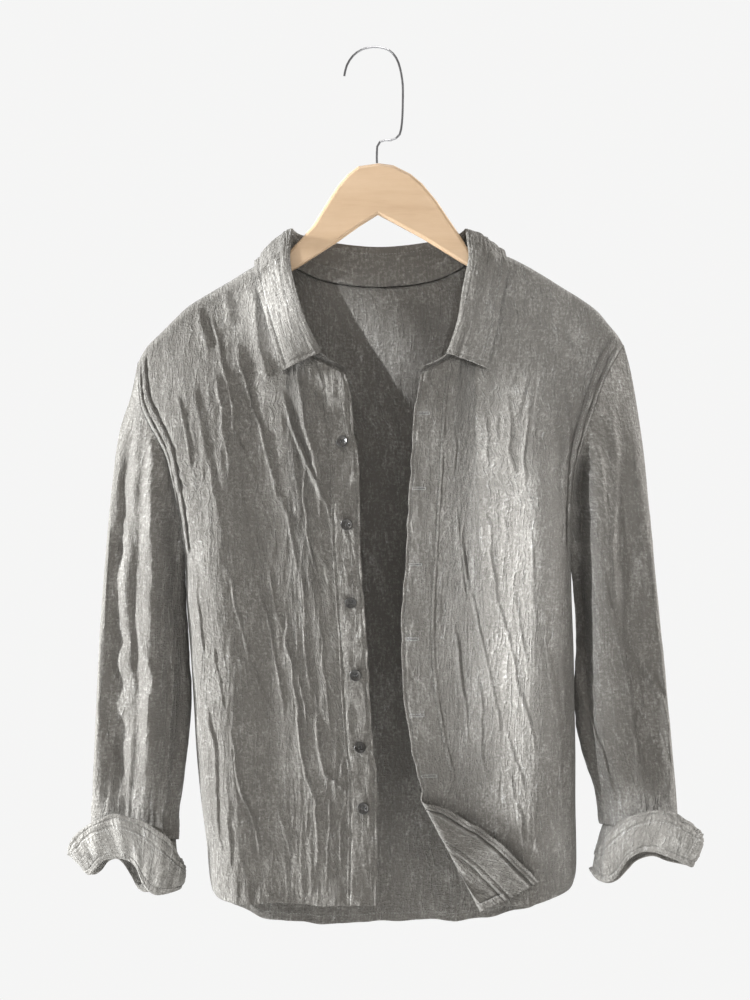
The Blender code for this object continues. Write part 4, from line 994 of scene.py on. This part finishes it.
sleeveCreases = {  # half width, height and the points x, z down each one, on the sleeve's front
    "right": [
        (5, -9, [(-252, -380), (-262, -450), (-268, -540), (-271, -640), (-272, -740), (-276, -812)]),
        (13, 11, [(-232, -390), (-235, -500), (-236, -600), (-237, -700), (-243, -812)]),
        (8, -6.5, [(-222, -440), (-216, -520), (-218, -600), (-224, -690), (-228, -800)]),
        (5, 4.5, [(-278, -420), (-284, -560), (-287, -650), (-289, -740), (-290, -812)]),
        (5, 3, [(-266, -440), (-264, -491), (-262, -548), (-263, -584), (-258, -636), (-256, -688),
                (-258, -740), (-264, -793)]),
        (3.2, 2, [(-250, -533), (-250, -574), (-249, -597), (-240, -631), (-233, -654), (-238, -678),
                  (-241, -714), (-245, -781)]),
        (4, -2.2, [(-226, -533), (-225, -595), (-223, -667)]),
        (3.4, 2.4, [(-205, -600), (-210, -631), (-216, -657), (-219, -688), (-220, -740), (-218, -793)]),
        (2.6, 1.6, [(-214, -574), (-213, -595), (-215, -626)]),
        (2.6, -1.6, [(-204, -706), (-207, -727), (-210, -748)]),
        (3, -1.8, [(-278, -698), (-280, -750), (-282, -796)]),
        (5, 2.6, [(-237, -367), (-235, -419), (-235, -471), (-234, -533)]),
        (4, 2, [(-252, -367), (-250, -419), (-253, -471), (-256, -512)]),
        (2.4, 1.4, [(-272, -740), (-271, -771), (-272, -796)]),
        (2.2, 1.3, [(-237, -750), (-233, -773), (-235, -796)]),
        (2.2, 1.3, [(-226, -755), (-225, -781), (-223, -800)]),
        (2.4, 1.2, [(-276, -491), (-278, -553), (-279, -615)]),
    ],
    "left": [
        (7, -24, [(212, -392), (211, -450), (210, -520), (212, -600), (218, -700)]),
        (12, 5, [(236, -400), (240, -500), (250, -600), (262, -700), (276, -806)]),
        (8, -5, [(264, -430), (268, -540), (276, -640), (286, -740), (290, -806)]),
        (10, 4.5, [(284, -470), (292, -600), (298, -720), (300, -806)]),
        (7, -4, [(220, -480), (224, -580), (236, -680), (250, -790)]),
        (2.6, 1.7, [(225, -408), (229, -432), (232, -468), (236, -488), (246, -504)]),
        (3.1, 3.4, [(229, -520), (237, -564), (242, -595), (250, -623), (257, -667), (265, -708),
                    (267, -740), (271, -786)]),
        (2.8, 3.0, [(258, -611), (270, -643), (272, -667), (270, -726), (274, -786)]),
        (3, 3.2, [(267, -626), (284, -660), (294, -698), (301, -740), (304, -787)]),
        (3.1, 3.4, [(203, -603), (213, -633), (222, -660), (229, -691)]),
        (3.1, 3.2, [(205, -662), (218, -701), (232, -729), (242, -760), (250, -789)]),
        (2.6, 1.6, [(291, -717), (298, -747), (300, -786)]),
        (2, 1.2, [(253, -653), (260, -665), (263, -678)]),
        (4, 3.2, [(241, -367), (245, -419), (247, -471), (241, -533)]),
        (4, 1.8, [(264, -398), (268, -450), (272, -512), (275, -574)]),
        (2.4, 1.4, [(208, -615), (216, -648), (225, -678)]),
        (2.2, 1.2, [(278, -574), (285, -615), (291, -667)]),
    ],
}
cuffRings = {
    "right": {
        "turn": {"depth": 29,
                 "front": [(-306, -850), (-299, -857), (-289, -846), (-281, -840), (-264, -839),
                           (-252, -846), (-244, -866), (-232, -877), (-210, -874)],
                 "back": [(-306, -850), (-300, -861), (-292, -858), (-285, -849), (-276, -846),
                          (-269, -851), (-261, -864), (-252, -879), (-238, -880), (-210, -874)]},
        "edge": {"depth": 41,
                 "front": [(-326, -840), (-317.5, -822), (-307.5, -809), (-281, -795), (-268, -794),
                           (-248, -798), (-230.5, -808), (-218, -819), (-210, -832), (-204.5, -850)],
                 "back": [(-326, -840), (-300, -818), (-250, -812), (-204.5, -850)]},
    },
    "left": {
        "turn": {"depth": 29,
                 "front": [(224, -855), (231, -863), (244.5, -861), (257, -841), (269.5, -832.5),
                           (281, -831.5), (292, -834.5), (309, -842), (325, -851)],
                 "back": [(224, -855), (231, -866), (242, -871), (252, -868), (262, -858), (272, -848),
                          (288, -843), (304, -848), (325, -851)]},
        "edge": {"depth": 41,
                 "front": [(223, -838), (231, -826), (236, -816), (246.5, -803.5), (265.5, -793),
                           (288, -788), (306, -792), (328, -807.5), (337, -819)],
                 "back": [(223, -838), (245, -815), (288, -803), (337, -819)]},
    },
}
cuffPleats = {  # angle and half width in degrees, height, lean towards the edge
    "right": [(28, 5, 1.6, -6), (52, 4, 2.2, 8), (74, 5, -1.6, 4), (98, 4, 2.0, -4), (122, 5, 2.4, -10),
              (140, 4, -1.8, -6), (160, 5, 1.5, -4), (215, 6, 2.0, 6), (262, 6, -2.0, 4),
              (318, 6, 2.0, -6)],
    "left": [(24, 5, 1.8, 4), (48, 4, -1.5, 6), (66, 5, 2.0, 8), (92, 4, 1.6, 3), (118, 5, -1.8, -4),
             (136, 4, 2.2, -8), (158, 5, 1.6, -5), (222, 6, -2.0, 5), (270, 6, 2.2, 3), (322, 6, 1.8, -6)],
}
cuffTucks = {"right": [(150, 3.5)], "left": [(137, 7.0)]}  # angle, and how far what follows is set back
cuff = {
    "thickness": 1.3, "centreY": 11, "seamGap": 0.6, "inset": 0.8, "swell": 3,
    "turnShare": 0.42, "roundShare": 0.05, "turnRound": 1.8, "round": 270, "length": 160, "shown": 50,
    "stitches": (5.0, 13.5), "turnStitch": 4.8, "sunk": 1.2, "sewn": (0.945, 0.83),
}


def sleeveSurface(side, plain=False):
    stations = sleeveStations[side]
    outerLine = curveThrough([(row[0], row[1]) for row in stations], byRow=True)
    innerLine = curveThrough([(row[2], row[3]) for row in stations], byRow=True)
    depthLine = curveThrough([(row[4],) for row in stations], byRow=True)
    armholeLine = curveThrough(armhole[side])
    outward = np.array([-1.0 if side == "right" else 1.0, 0.0])
    other = "left" if side == "right" else "right"
    inset = sleeve["inset"] * mm
    seed = 131 if side == "right" else 147

    def ringPoint(v, angle):
        outer = outerLine(v) - outward * inset
        inner = innerLine(v) + outward * inset
        flat = (outer + inner) * 0.5 + (outer - inner) * 0.5 * column(np.cos(angle))
        y = sleeve["centreY"] * mm * ease(v / 0.3) - depthLine(v)[..., 0] * np.sin(angle)
        return np.stack([flat[..., 0], y, flat[..., 1]], axis=-1)

    def at(u, v):
        u = np.asarray(u, float)
        v = np.asarray(v, float) * np.ones_like(u)
        angle = 2.0 * math.pi * (u % 1.0)
        points = ringPoint(v, angle)
        loop = armholeLine((1.0 - np.cos(angle)) * 0.5) + outward * sleeve["gap"] * mm
        loopY = -(body["armholeDepth"] - sleeve["tuck"]) * mm * np.sin(angle) * np.abs(np.sin(angle))
        start = ringPoint(np.zeros_like(v), angle)
        leave = 1.0 - ease(v / 0.35)
        points = points + (np.stack([loop[:, 0], loopY, loop[:, 1]], axis=-1) - start) * column(leave)
        bulge, forward, rearward = np.zeros_like(u), np.zeros_like(u), np.zeros_like(u)
        for degrees, halfWidth, depth, first, last in sleeveFolds[side]:
            offset = (np.degrees(angle) - degrees) / halfWidth
            along = ease((v - first) / 0.2) * ease((last - v) / 0.15 + (last >= 1.0))
            bulge += depth * mm * np.exp(-offset ** 2) * along
        if not plain:
            half = 0.5 - 0.5 * np.cos(angle)  # both ends of the round meet
            across = np.where(angle < math.pi, half, 2.0 - half) * 0.5 * sleeve["round"] * mm
            along = v * sleeve["length"] * mm
            calm = ease(v / 0.06) * ease(np.minimum(angle, 2 * math.pi - angle) / 0.25)
            bulge += crinkleHeight(across, along, seed, "sleeve") * calm
            gathers = latticeNoise(across / 0.0075, along / 0.045, seed + 61)
            gathers = (1.0 - np.abs(2.0 * gathers - 1.0)) ** 1.6 - 0.4
            bulge += sleeve["gathers"] * mm * gathers * ease((v - 0.86) / 0.12) * calm
            facing = np.sin(angle)
            x, z = points[:, 0], points[:, 2]
            fromSeam = ease(v / 0.07)
            forward = creaseHeight(sleeveCreases[side], x, z, seed) * ease(facing * 2.2) * fromSeam
            rearward = creaseHeight(sleeveCreases[other], -x, z, seed + 20) * ease(-facing * 2.2) * fromSeam
        centre = (ringPoint(v, 0.0 * angle) + ringPoint(v, 0.0 * angle + math.pi)) * 0.5
        away = points - centre
        away = away / np.linalg.norm(away, axis=-1, keepdims=True)
        points = points + away * column(bulge)
        points[:, 1] += rearward - forward
        return points

    return at


def cuffRing(ring):
    front = curveThrough(ring["front"])
    rear = curveThrough(ring["back"])

    def at(facing):
        share = (1.0 + np.cos(facing)) * 0.5
        flat = np.where(column(np.sin(facing) >= 0.0), front(share), rear(share))
        y = cuff["centreY"] * mm - ring["depth"] * mm * np.sin(facing)
        return np.stack([flat[..., 0], y, flat[..., 1]], axis=-1)

    return at


def cuffSurface(side):
    turnRing = cuffRing(cuffRings[side]["turn"])
    edgeRing = cuffRing(cuffRings[side]["edge"])
    tube = sleeveSurface(side, plain=True)
    radius = cuff["turnRound"] * mm
    share = cuff["turnShare"]
    roundShare = cuff["roundShare"]
    seed = 161 if side == "right" else 173
    down = np.array([0.0, 0.0, -1.0])

    def at(u, v):
        angle = 2.0 * math.pi * (u % 1.0)
        facing = angle if side == "left" else math.pi - angle
        outward = np.stack([np.cos(facing), -np.sin(facing), 0.0 * facing], axis=-1)
        turn = turnRing(facing)
        seam = tube(u, np.ones_like(u)) + down * cuff["seamGap"] * mm - outward * cuff["inset"] * mm
        inside = blendTo(seam, turn, column(v / (share - roundShare)))
        half = np.clip((v - share + roundShare) / (2 * roundShare), 0.0, 1.0) * math.pi
        bend = turn + outward * column(radius * (1 - np.cos(half))) + down * column(radius * np.sin(half))
        rise = np.clip((v - share - roundShare) / (1.0 - share - roundShare), 0.0, 1.0)
        swell = outward * column(cuff["swell"] * mm * np.sin(math.pi * rise))
        outside = blendTo(turn + outward * 2 * radius, edgeRing(facing), column(rise)) + swell
        length = cuff["round"] * mm
        pucker = crinkleHeight(u * length, v * cuff["length"] * mm, seed, "collar")
        turned = np.degrees(facing % (2 * math.pi))
        for degrees, reachBack in cuffTucks[side]:
            pucker -= reachBack * mm * ease((turned - degrees) / 7) * ease((250 - turned) / 50)
        for degrees, halfWidth, height, lean in cuffPleats[side]:
            offset = (turned - degrees - lean * rise) / halfWidth
            pucker += height * mm * (np.exp(-offset ** 2) - 0.5 * np.exp(-(offset - 1.8) ** 2))
        fromTop, fromTurn = (1.0 - rise) * cuff["shown"] * mm, rise * cuff["shown"] * mm
        pucker = pucker * ease(rise * 5) * (0.45 + 0.55 * ease((1 - rise) * 5))
        stitched = lineGroove(fromTurn - cuff["turnStitch"] * mm, 0.0011)
        for stitch in cuff["stitches"]:
            stitched = stitched + lineGroove(fromTop - stitch * mm, 0.0011)
        pucker -= cuff["sunk"] * mm * stitched
        rims = ease(1.0 - fromTop / 0.008) + ease(1.0 - fromTurn / 0.008)
        pucker += rims * 0.0026 * (latticeNoise(u * 46, fromTop / 0.006, seed + 9) - 0.45)
        outside = outside + outward * column(pucker)
        frayed = latticeNoise(u * 34, 0 * u, seed + 4) - 0.5
        outside[:, 2] += ease(1.0 - fromTop / 0.012) * 0.0030 * frayed
        hidden = np.sin(math.pi * np.clip(v / share, 0.0, 1.0))
        crushed = crinkleHeight(u * length, v * 0.12, seed + 7, "sleeve") * 1.6
        inside = inside + outward * column(hidden * crushed)
        points = np.where(column(v <= share - roundShare), inside, bend)
        return np.where(column(v > share + roundShare), outside, points)

    return at


print("making the sleeves and cuffs")
cuffRows = spread(12, 0.0, 0.37) + spread(8, 0.37, 0.47)[1:] + spread(10, 0.47, 0.55)[1:]
cuffRows += spread(12, 0.55, 0.82)[1:] + spread(18, 0.82, 1.0)[1:]
for side, hand in (("right", "Right"), ("left", "Left")):
    arm = clothSheet("clothSleeve" + hand, sleeveSurface(side), spread(190), spread(130),
                     sleeve["thickness"] * mm, tube=True, upright=True)
    finishSheet(arm, "sleeve_" + side)
    turnUp = clothSheet("clothCuff" + hand, cuffSurface(side), spread(180), cuffRows,
                        cuff["thickness"] * mm, tube=True)
    finishSheet(turnUp, "cuff_" + side)

sewing = {"length": 2.3, "pitch": 3.3, "width": 0.55}
buttonhole = {"length": 13.0, "fromEdge": 9.5, "slitWidth": 0.9, "halfHeight": 1.15, "stitch": 1.7,
              "barTack": 3.6, "steps": 19, "heights": [-381, -458, -536, -612, -690, -752]}


def seat(surface, u, v):
    # points on a surface and its normals there
    u = np.asarray(u, float)
    v = np.asarray(v, float)
    alongU = surface(np.clip(u + 0.003, 0, 1), v) - surface(np.clip(u - 0.003, 0, 1), v)
    alongV = surface(u, np.clip(v + 0.003, 0, 1)) - surface(u, np.clip(v - 0.003, 0, 1))
    normal = np.cross(alongU, alongV)
    return surface(u, v), normal / np.linalg.norm(normal, axis=-1, keepdims=True)


def threadBead(builder, place, along, normal, length, width):
    across = np.cross(normal, along)
    axes = Matrix([list(along * length), list(across * width), list(normal * width * 0.8)]).transposed()
    bmesh.ops.create_icosphere(builder, subdivisions=1, radius=0.5,
                               matrix=Matrix.Translation(Vector(place)) @ axes.to_4x4())


def sewRow(builder, surface, u, v, lift):
    # a bead on both faces of the cloth for each stitch
    points, normals = seat(surface, u, v)
    steps = np.linalg.norm(np.diff(points, axis=0), axis=1)
    reach = np.concatenate([[0.0], steps.cumsum()])
    for distance in np.arange(0.002, reach[-1] - 0.002, sewing["pitch"] * mm):
        k = min(max(int(np.searchsorted(reach, distance)), 1), len(points) - 2)
        along = points[k + 1] - points[k - 1]
        along = along / np.linalg.norm(along)
        for face in (1.0, -1.0):
            normal = normals[k] * face
            threadBead(builder, points[k] + normal * lift * mm, along, normal, sewing["length"] * mm,
                       sewing["width"] * mm)


def finishThread(name, builder, material):
    thread = placeMesh(name, builder)
    thread.data.shade_smooth()
    thread.data.materials.append(material)
    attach(thread, "root")


print("sewing")
leafTop = leafSurface()
sewn = bmesh.new()
sewRow(sewn, leafTop, np.linspace(0.010, 0.990, 1400), np.full(1400, collar["leafSewn"]), 0.65)
for end in (collar["leafEndSewn"], 1.0 - collar["leafEndSewn"]):
    sewRow(sewn, leafTop, np.full(200, end), np.linspace(0.25, 0.915, 200), 0.65)
finishThread("sewnLeaf", sewn, seamThread)
sewn = bmesh.new()
sewRow(sewn, standSurface(), np.linspace(0.01, 0.99, 1000), np.full(1000, collar["standSewn"]), 0.65)
finishThread("sewnStand", sewn, seamThread)
down = np.linspace(0.004, 0.996, 900)
armShare = np.linspace(0.02, body["armholeShare"] - 0.005, 500)
hemShare = 1.0 - hem["stitch"] / hem["panelLength"]
for side, hand in (("right", "Right"), ("left", "Left")):
    strip = bandSurface(side)
    width = body["buttonBand"] if side == "right" else body["holeBand"]
    sewn = bmesh.new()
    for share in (placket["innerStitch"] / width, 1.0 - placket["edgeStitch"] / width):
        sewRow(sewn, strip, np.full(900, share), down, 0.5)
    finishThread("sewnBand" + hand, sewn, seamThread)
    panel = frontSurface(side)
    widths = np.linalg.norm(panel(0 * armShare, armShare) - panel(0 * armShare + 1.0, armShare), axis=1)
    sewn = bmesh.new()
    sewRow(sewn, panel, np.linspace(0.02, 0.98, 600), np.full(600, hemShare), 0.35)
    for inboard in armSeam["stitches"]:
        sewRow(sewn, panel, inboard * mm / widths, armShare, 0.35)
    finishThread("sewnFront" + hand, sewn, seamThread)
    turnedUp = cuffSurface(side)
    sewn = bmesh.new()
    for share in cuff["sewn"]:
        sewRow(sewn, turnedUp, np.linspace(0.0, 1.0, 700), np.full(700, share), 0.6)
    finishThread("sewnCuff" + hand, sewn, seamThread)
sewn = bmesh.new()
sewRow(sewn, backSurface(), np.linspace(0.01, 0.99, 900), np.full(900, hemShare), 0.35)
finishThread("sewnBackHem", sewn, seamThread)

# buttonholes: a dark bead of painted shade where the slit opens, with thread worked round it
strip = bandSurface("left")
slitShade = bmesh.new()
worked = bmesh.new()
middle = 1.0 - buttonhole["fromEdge"] / body["holeBand"]
half = buttonhole["length"] * 0.5 / body["holeBand"]
across = np.linspace(middle - half, middle + half, buttonhole["steps"])
centre, lastStep = buttonhole["steps"] // 2, buttonhole["steps"] - 1
share = np.linspace(0, 0.80, 640)
for height in buttonhole["heights"]:
    level = [np.interp(-height * mm, -strip(np.full(640, u), share)[:, 2], share) for u in across]
    places, normals = seat(strip, across, np.array(level))
    normals = normals * np.where(normals[:, 1:2] > 0, -1.0, 1.0)
    along = (places[-1] - places[0]) / np.linalg.norm(places[-1] - places[0])
    up = np.cross(normals[centre], along)
    # the dark bead is painted shade where the slit opens
    threadBead(slitShade, places[centre] + normals[centre] * 0.55 * mm, along, normals[centre],
               buttonhole["length"] * mm, buttonhole["slitWidth"] * mm)
    for k in range(buttonhole["steps"]):
        for rise in (-buttonhole["halfHeight"], buttonhole["halfHeight"]):
            threadBead(worked, places[k] + normals[k] * 0.6 * mm + up * rise * mm, up, normals[k],
                       buttonhole["stitch"] * mm, 0.62 * mm)
    for k in (0, lastStep):
        threadBead(worked, places[k] + normals[k] * 0.65 * mm, up, normals[k], buttonhole["barTack"] * mm,
                   0.9 * mm)
finishThread("buttonholeSlitShade", slitShade, darkThreadAndSlitShade)
finishThread("buttonholeThread", worked, seamThread)

button = {
    "radius": 6.1, "thick": 2.4, "holeRadius": 0.75, "holeSpread": 1.26, "lift": 1.3, "steps": 36,
    "threadLength": 3.3, "threadWidth": 0.75, "shankBase": 1.3, "shankTop": 1.1,
    "profile": [(0.0, 0.42), (0.62, 0.40), (0.74, 0.62), (0.84, 0.95), (0.92, 1.0), (0.985, 0.75),
                (1.0, 0.3), (0.97, -0.4), (0.80, -0.9), (0.0, -1.0)],  # shares of radius, half thickness
    "tilts": [(-20, -10), (-6, 5), (6, 22), (-4, 10), (8, -16), (-8, -5)],
}


def makeButton():
    # turned disc with a raised rim and a dished middle, drilled with four holes
    builder = bmesh.new()
    ring = [builder.verts.new((reach * button["radius"] * mm, 0.0, height * button["thick"] * 0.5 * mm))
            for reach, height in button["profile"]]
    for first, second in zip(ring, ring[1:]):
        builder.edges.new((first, second))
    bmesh.ops.spin(builder, geom=builder.verts[:] + builder.edges[:], cent=(0, 0, 0), axis=(0, 0, 1),
                   angle=2 * math.pi, steps=button["steps"], use_merge=True)
    bmesh.ops.remove_doubles(builder, verts=builder.verts, dist=0.00002)
    bmesh.ops.recalc_face_normals(builder, faces=builder.faces)
    turning = placeMesh("buttonTurning", builder)
    drills = bmesh.new()
    for x in (-1, 1):
        for y in (-1, 1):
            spot = Vector((x, y, 0)) * button["holeSpread"] * mm
            bmesh.ops.create_cone(drills, cap_ends=True, segments=14, radius1=button["holeRadius"] * mm,
                                  radius2=button["holeRadius"] * mm, depth=0.02,
                                  matrix=Matrix.Translation(spot))
    drill = placeMesh("buttonDrills", drills)
    cut = turning.modifiers.new("Holes", "BOOLEAN")
    cut.operation = "DIFFERENCE"
    cut.solver = "EXACT"
    cut.object = drill
    bpy.context.view_layer.update()
    drilled = bpy.data.meshes.new_from_object(turning.evaluated_get(bpy.context.evaluated_depsgraph_get()))
    bpy.data.objects.remove(turning)
    bpy.data.objects.remove(drill)
    return drilled


print("buttons")
drilled = makeButton()
strip = bandSurface("right")
share = np.linspace(0, 1, 800)
heights = strip(np.full(800, 0.5), share)[:, 2]
shanks = bmesh.new()
for index, tilt in enumerate(button["tilts"]):
    node = "button_%d" % (index + 1)
    boxLow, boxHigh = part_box(node)
    middle = (Vector(boxLow) + Vector(boxHigh)) * 0.5
    place = strip(np.array([0.5]), np.array([np.interp(-middle.z, -heights, share)]))
    front = Vector((middle.x, place[0, 1] - (button["lift"] + button["thick"] * 0.5) * mm, middle.z))
    turn = (Matrix.Translation(front) @ Matrix.Rotation(math.radians(tilt[0]), 4, "Z")
            @ Matrix.Rotation(math.radians(90 + tilt[1]), 4, "X"))
    mesh = drilled.copy()
    mesh.transform(turn)
    mesh.materials.clear()
    mesh.materials.append(hornMaterial)
    mesh.shade_smooth()
    disc = bpy.data.objects.new("sewnButton%d" % (index + 1), mesh)
    bpy.context.scene.collection.objects.link(disc)
    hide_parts(node)
    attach(disc, "root")
    for x in (-1, 1):
        spot = turn @ Vector((x * button["holeSpread"] * mm, 0, button["thick"] * 0.32 * mm))
        axis = (turn.to_3x3() @ Vector((0, 1, 0))).normalized()
        face = (turn.to_3x3() @ Vector((0, 0, 1))).normalized()
        threadBead(shanks, np.array(spot), np.array(axis), np.array(face), button["threadLength"] * mm,
                   button["threadWidth"] * mm)
    root = Vector((middle.x, place[0, 1] - button["lift"] * 0.5 * mm, middle.z))
    bmesh.ops.create_cone(shanks, cap_ends=True, segments=10, radius1=button["shankBase"] * mm,
                          radius2=button["shankTop"] * mm, depth=(button["lift"] + 1.2) * mm,
                          matrix=Matrix.Translation(root) @ Matrix.Rotation(math.pi / 2, 4, "X"))
finishThread("buttonThread", shanks, darkThreadAndSlitShade)

print("setting up the studio")
view = {"place": (-0.004, -3.0, -0.470), "lens": 103.8, "sensor": 36.0}
cameraData = bpy.data.cameras.new("camera")
cameraData.lens = view["lens"]
cameraData.sensor_width = view["sensor"]
camera = bpy.data.objects.new("camera", cameraData)
camera.location = view["place"]
camera.rotation_euler = (math.pi / 2, 0.0, 0.0)
bpy.context.scene.collection.objects.link(camera)
bpy.context.scene.camera = camera


def addLamp(name, kind, place, aim, power, color):
    data = bpy.data.lights.new(name, kind)
    data.energy = power
    data.color = color
    lamp = bpy.data.objects.new(name, data)
    lamp.location = place
    lamp.rotation_euler = (Vector(aim) - Vector(place)).to_track_quat("-Z", "Y").to_euler()
    bpy.context.scene.collection.objects.link(lamp)
    return data


lights = {  # place, size, power, color
    "window": ((-3.0, -0.25, 0.0), 0.34, 335.0, (0.945, 0.975, 1.0)),
    "fill": ((0.2, -3.0, 0.0), 2.0, 10.0, (1.0, 0.985, 0.96)),
    "above": ((0.1, -1.5, 1.5), 1.2, 19.0, (1.0, 0.985, 0.97)),
    "rear": ((2.8, 0.9, 0.3), 0.6, 150.0, (1.0, 1.0, 1.0)),
}
lightsAim = (0.0, 0.0, -0.5)
patches = {  # place, aim, power, angle
    "leftCuffPatch": ((-1.2, -2.5, 0.20), (0.285, -0.03, -0.858), 1050.0, 3.3),
    "rightCuffPatch": ((-1.9, -2.1, 0.20), (-0.275, -0.03, -0.850), 750.0, 3.3),
    "collarPatch": ((-1.9, -1.7, 0.70), (-0.108, -0.03, -0.262), 1000.0, 2.1),
    "chestPatch": ((0.6, -2.6, 0.60), (0.160, -0.03, -0.300), 200.0, 4.2),
}
patchGlow = {"color": (0.93, 0.965, 1.0), "blend": 0.6, "softSize": 0.03}
patchRows = {  # x, y and rise of the lamps, x of the spots, their top height and step, powers, angle
    "frontPatch": (-1.9, -2.1, 0.90, 0.143, -0.425, 0.065, [470, 560, 560, 550, 460, 260], 2.65),
    "sleevePatch": (-2.5, -1.15, 0.30, 0.262, -0.50, 0.08, [260, 260, 260, 260], 2.0),
}
for name, (lampX, lampY, rise, spotX, top, step, powers, angle) in patchRows.items():
    for row, power in enumerate(powers):
        height = top - step * row
        patches["%s%d" % (name, row)] = ((lampX, lampY, height + rise), (spotX, -0.03, height), power, angle)
for name, (place, size, power, color) in lights.items():
    data = addLamp(name, "AREA", place, lightsAim, power, color)
    data.shape = "DISK"
    data.size = size
for name, (place, aim, power, angle) in patches.items():
    data = addLamp(name, "SPOT", place, aim, power, patchGlow["color"])
    data.spot_size = math.radians(angle)
    data.spot_blend = patchGlow["blend"]
    data.shadow_soft_size = patchGlow["softSize"]

skyTones = [(0.0, (0.405, 0.393, 0.374, 1.0)), (0.45, (0.44, 0.43, 0.412, 1.0)),
            (0.85, (0.915, 0.915, 0.912, 1.0))]  # from the front round to the back
world = bpy.data.worlds.new("studio")
world.use_nodes = True
skyTree = world.node_tree
toward = skyTree.nodes.new("ShaderNodeSeparateXYZ")
skyTree.links.new(skyTree.nodes.new("ShaderNodeTexCoord").outputs["Generated"], toward.inputs["Vector"])
fromFront = addMath(skyTree, "ADD", addMath(skyTree, "MULTIPLY", toward.outputs["Y"], 0.5), 0.5)
sky = addRamp(skyTree, fromFront, skyTones)
skyTree.links.new(sky, skyTree.nodes["Background"].inputs["Color"])
skyTree.nodes["Background"].inputs["Strength"].default_value = 1.0
bpy.context.scene.world = world
bpy.context.scene.view_settings.view_transform = "Standard"

ground = {"size": 2.4, "place": (0.0, -0.75, -1.3), "color": (0.80, 0.80, 0.79, 1.0), "roughness": 0.7}
builder = bmesh.new()
bmesh.ops.create_grid(builder, x_segments=1, y_segments=1, size=ground["size"])
bmesh.ops.translate(builder, verts=builder.verts, vec=ground["place"])
floor = placeMesh("floor", builder)
floorMaterial, _, floorShader = newMaterial("paleFloor", ground["roughness"])
floorShader.inputs["Base Color"].default_value = ground["color"]
floor.data.materials.append(floorMaterial)

# the hanger keeps its own solids
for node, material in (("hanger_wood", beechMaterial), ("hanger_hook", wireMaterial)):
    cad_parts[node].data.materials.clear()
    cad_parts[node].data.materials.append(material)
